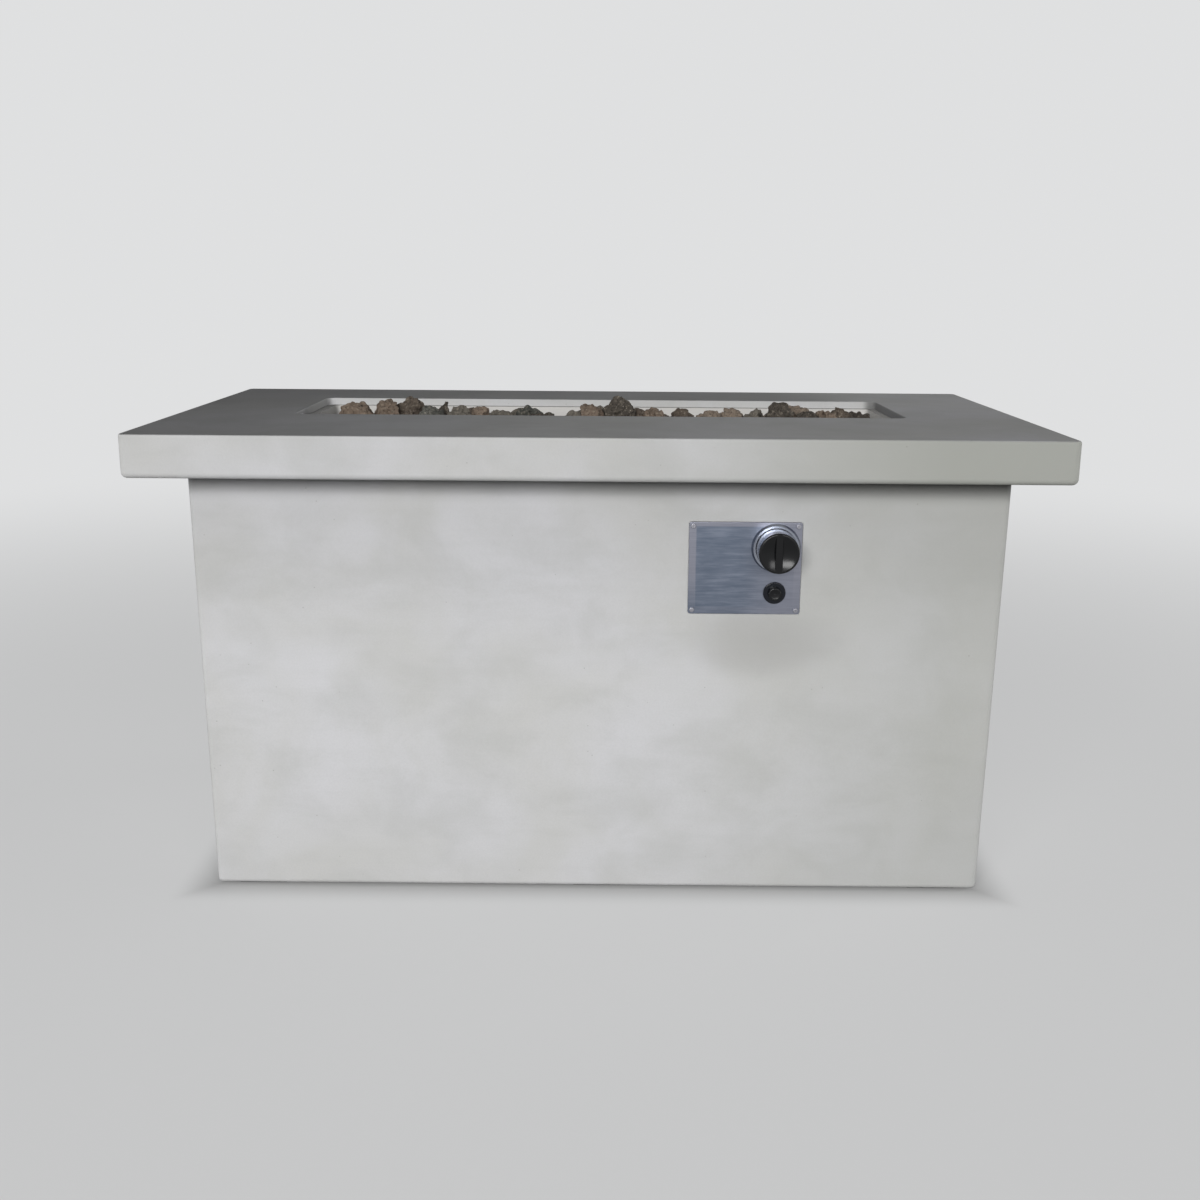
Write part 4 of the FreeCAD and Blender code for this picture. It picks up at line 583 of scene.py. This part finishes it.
def loose_rocks(node):
    """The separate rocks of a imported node, as lists of points and faces."""
    mesh = welded(node)
    mesh.faces.ensure_lookup_table()
    seen = set()
    rocks = []
    for face in mesh.faces:
        if face.index in seen:
            continue
        seen.add(face.index)
        stack = [face]
        group = []
        while stack:
            one = stack.pop()
            group.append(one)
            for edge in one.edges:
                for other in edge.link_faces:
                    if other.index not in seen:
                        seen.add(other.index)
                        stack.append(other)
        points = sorted({v for one in group for v in one.verts}, key=lambda v: v.index)
        number = {v: i for i, v in enumerate(points)}
        rocks.append(([v.co.copy() for v in points], [[number[v] for v in one.verts] for one in group]))
    mesh.free()
    return rocks


def rock_size(points, faces):
    """The side of a cube with the rock's volume."""
    volume = sum(points[a].dot(points[b].cross(points[c])) for a, b, c in faces) / 6.0
    return abs(volume) ** (1.0 / 3.0)


def even_mesh(points, faces, voxel):
    """The closed surface of a rock as small even faces."""
    mesh = bpy.data.meshes.new("even")
    mesh.from_pydata(points, [], faces)
    obj = linked("even", mesh)
    remesh = obj.modifiers.new("even", "REMESH")
    remesh.mode = "VOXEL"
    remesh.voxel_size = voxel
    smooth = obj.modifiers.new("soften", "SMOOTH")
    smooth.factor = 0.5
    smooth.iterations = 1
    return evaluated(obj)


def roughening():
    """A tree that breaks up a rock's surface: a coarse and a fine warp, knobs and open pores."""
    tree = bpy.data.node_groups.new("roughening", "GeometryNodeTree")
    tree.interface.new_socket("Geometry", in_out="INPUT", socket_type="NodeSocketGeometry")
    sizes = {"Shrink": rock_shrink, "Warp": rock_warp, "Warp scale": rock_warp_scale,
             "Chip": rock_chip, "Chip scale": rock_chip_scale, "Knob depth": rock_knob_depth,
             "Knob scale": rock_knob_scale, "Pit depth": rock_pit_depth, "Pit scale": rock_pit_scale,
             "Seed": float(rock_seed)}
    for label, size in sizes.items():
        socket = tree.interface.new_socket(label, in_out="INPUT", socket_type="NodeSocketFloat")
        socket.default_value = size
    tree.interface.new_socket("Geometry", in_out="OUTPUT", socket_type="NodeSocketGeometry")
    g = Graph(tree)
    entry = g.node("NodeGroupInput")
    value = {label: g.number(entry.outputs[label]) for label in sizes}
    bulk = g.node("GeometryNodeInputNamedAttribute", {"Name": "rock_bulk"})
    bulk = g.number(bulk.outputs["Attribute"])
    spot = g.node("GeometryNodeInputPosition").outputs[0]
    shift = g.node("ShaderNodeCombineXYZ", {0: value["Seed"], 1: value["Seed"] * 1.7, 2: 0.0})
    moved = g.add(spot, shift.outputs[0])
    drift = g.add(g.drift(moved, value["Warp scale"], value["Warp"] * bulk),
                  g.drift(moved, value["Chip scale"], value["Chip"] * bulk))
    knobs = g.cells(moved, value["Knob scale"])
    pits = g.cells(moved, value["Pit scale"])
    pitted = g.noise(moved, scale=value["Warp scale"] * 2.0, detail=1.0).span(0.42, 0.56)
    open_pit = (0.40 - pits).span(0.0, 0.26) * pitted
    sunk = knobs * knobs * value["Knob depth"] * 2.0 + open_pit * value["Pit depth"]
    sunk = value["Shrink"] + sunk * bulk
    inward = g.dimmed(g.node("GeometryNodeInputNormal").outputs[0], sunk * -1.0)
    moving = g.node("GeometryNodeSetPosition", {"Geometry": entry.outputs["Geometry"],
                                                "Offset": g.add(drift, inward)})
    g.closing("NodeGroupOutput", moving)
    return tree


def rock_pieces(node, voxel, kinds, dice, tree):
    """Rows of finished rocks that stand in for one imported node; kinds are those of its first rocks."""
    low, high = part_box(node)
    rows = [[] for _ in range(rock_rows)]
    for order, (points, faces) in enumerate(loose_rocks(node)):
        middle = sum((p.x for p in points)) / len(points)
        row = min(rock_rows - 1, int((middle - low[0]) / (high[0] - low[0]) * rock_rows))
        rows[row].append((points, faces, kinds[order] if order < len(kinds) else None))
    for number, members in enumerate(rows):
        joined = bmesh.new()
        values = {"rock_shade": [], "rock_warmth": [], "rock_bulk": []}
        for points, faces, kind in members:
            made = even_mesh(points, faces, voxel)
            count = len(made.vertices)
            joined.from_mesh(made)
            bpy.data.meshes.remove(made)
            shade, warmth = rock_kinds[dice.choice(loose_kinds)]
            if kind:
                shade, warmth = rock_kinds[kind]
            shade += dice.uniform(-rock_shade_spread, rock_shade_spread)
            bulk = min(1.0, (rock_size(points, faces) / rock_full_size) ** 3)
            for label, one in zip(values, (shade, warmth, bulk)):
                values[label] += [one] * count
        mesh = bpy.data.meshes.new("rough")
        joined.to_mesh(mesh)
        joined.free()
        for label, data in values.items():
            mesh.attributes.new(label, "FLOAT", "POINT").data.foreach_set("value", data)
        rough = linked("rough", mesh)
        rough.modifiers.new("roughening", "NODES").node_group = tree
        done = evaluated(rough)
        done.name = f"{node}_{number + 1}"
        done.attributes.remove(done.attributes["rock_bulk"])
        dress(done, "lava")
        smooth_faces(done)
        piece = linked(f"{node}_{number + 1}", done)
        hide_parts(node)
        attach(piece, "table")


rock_dice = random.Random(rock_seed)
rock_tree = roughening()
rock_pieces("lava_rocks_top", rock_voxel, crest_kinds, rock_dice, rock_tree)
rock_pieces("lava_rocks_base", rock_base_voxel, (), rock_dice, rock_tree)
bpy.data.node_groups.remove(rock_tree)


# Springs, as smooth-shaded copies of the packed coils

def pressed_spring(node):
    """A smooth-shaded copy of a packed coil spring, hung on the table's body."""
    mesh = welded(node)
    coil = bpy.data.meshes.new(f"{node}_coil")
    mesh.to_mesh(coil)
    mesh.free()
    smooth_faces(coil)
    coil.set_sharp_from_angle(angle=spring_sharp_angle)
    dress(coil, "spring_steel")
    piece = linked(f"{node}_coil", coil)
    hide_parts(node)
    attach(piece, "table")
    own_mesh(piece)


pressed_spring("valve_spring")
pressed_spring("igniter_spring")


# Floor, light and camera

def backdrop_seen(g):
    """One where a ray comes from the eye, a mirror or a glass, and zero where it carries light."""
    path = g.node("ShaderNodeLightPath")
    seen = g.number(path.outputs["Is Camera Ray"]).most(g.number(path.outputs["Is Glossy Ray"]))
    return seen.most(g.number(path.outputs["Is Transmission Ray"]))


def floor():
    """A pale floor that keeps the table's shadow and fades into the plain backdrop further out."""
    mesh = bpy.data.meshes.new("floor")
    corners = [(x * floor_half, y * floor_half, 0) for x, y in ((-1, -1), (1, -1), (1, 1), (-1, 1))]
    mesh.from_pydata(corners, [], [(0, 1, 2, 3)])
    made, g = material("floor")
    place = g.place()
    spot = g.noise(place, scale=1.2, detail=2.0)
    away = g.number(g.node("ShaderNodeVectorMath", {0: place}, operation="LENGTH").outputs["Value"])
    x, y, _ = g.parts(place)
    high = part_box("pedestal")[1]
    beside = (x.abs() - high[0]).most(y.abs() - high[1])
    seen = backdrop_seen(g)
    colour = g.mix(seen, floor_bounce, g.mix(spot, floor_grey, floor_pale))
    lit = g.node("ShaderNodeBsdfPrincipled", {"Base Color": colour, "Roughness": 0.9})
    glow = g.node("ShaderNodeEmission", {"Color": backdrop_grey, "Strength": 1.0})
    fade = seen * beside.span(*floor_contact) * away.span(*floor_fade, to_low=floor_glow, to_high=1.0)
    both = g.node("ShaderNodeMixShader", {0: fade, 1: lit.outputs[0], 2: glow.outputs[0]})
    g.closing("ShaderNodeOutputMaterial", both)
    mesh.materials.append(made)
    linked("floor", mesh)


def world():
    made = bpy.data.worlds.new("plain")
    bpy.context.scene.world = made
    made.use_nodes = True
    made.node_tree.nodes.clear()
    g = Graph(made.node_tree)
    colour = g.mix(backdrop_seen(g), ambient_grey, backdrop_grey)
    g.closing("ShaderNodeOutputWorld", g.node("ShaderNodeBackground", {"Color": colour, "Strength": 1.0}))


def area_light(name, place, target, size, power):
    data = bpy.data.lights.new(name, "AREA")
    data.shape = "RECTANGLE"
    data.size, data.size_y = size
    data.energy = power
    obj = linked(name, data)
    obj.location = place
    obj.rotation_euler = (Vector(target) - Vector(place)).to_track_quat("-Z", "Y").to_euler()


def camera():
    sin_p, cos_p = math.sin(camera_pitch), math.cos(camera_pitch)
    sin_y, cos_y = math.sin(camera_yaw), math.cos(camera_yaw)
    ahead = Vector((sin_y * cos_p, cos_y * cos_p, -sin_p))
    right = Vector((cos_y, -sin_y, 0.0))
    up = right.cross(ahead)
    across = right * math.cos(camera_roll) + up * math.sin(camera_roll)
    upright = up * math.cos(camera_roll) - right * math.sin(camera_roll)
    data = bpy.data.cameras.new("camera")
    data.lens = camera_lens
    data.sensor_width = camera_sensor
    obj = linked("camera", data)
    turn = Matrix((across, upright, -ahead)).transposed().to_4x4()
    obj.matrix_world = Matrix.Translation(camera_place) @ turn
    bpy.context.scene.camera = obj


floor()
world()
for light in lights:
    area_light(*light)
camera()
bpy.context.scene.view_settings.view_transform = "Standard"
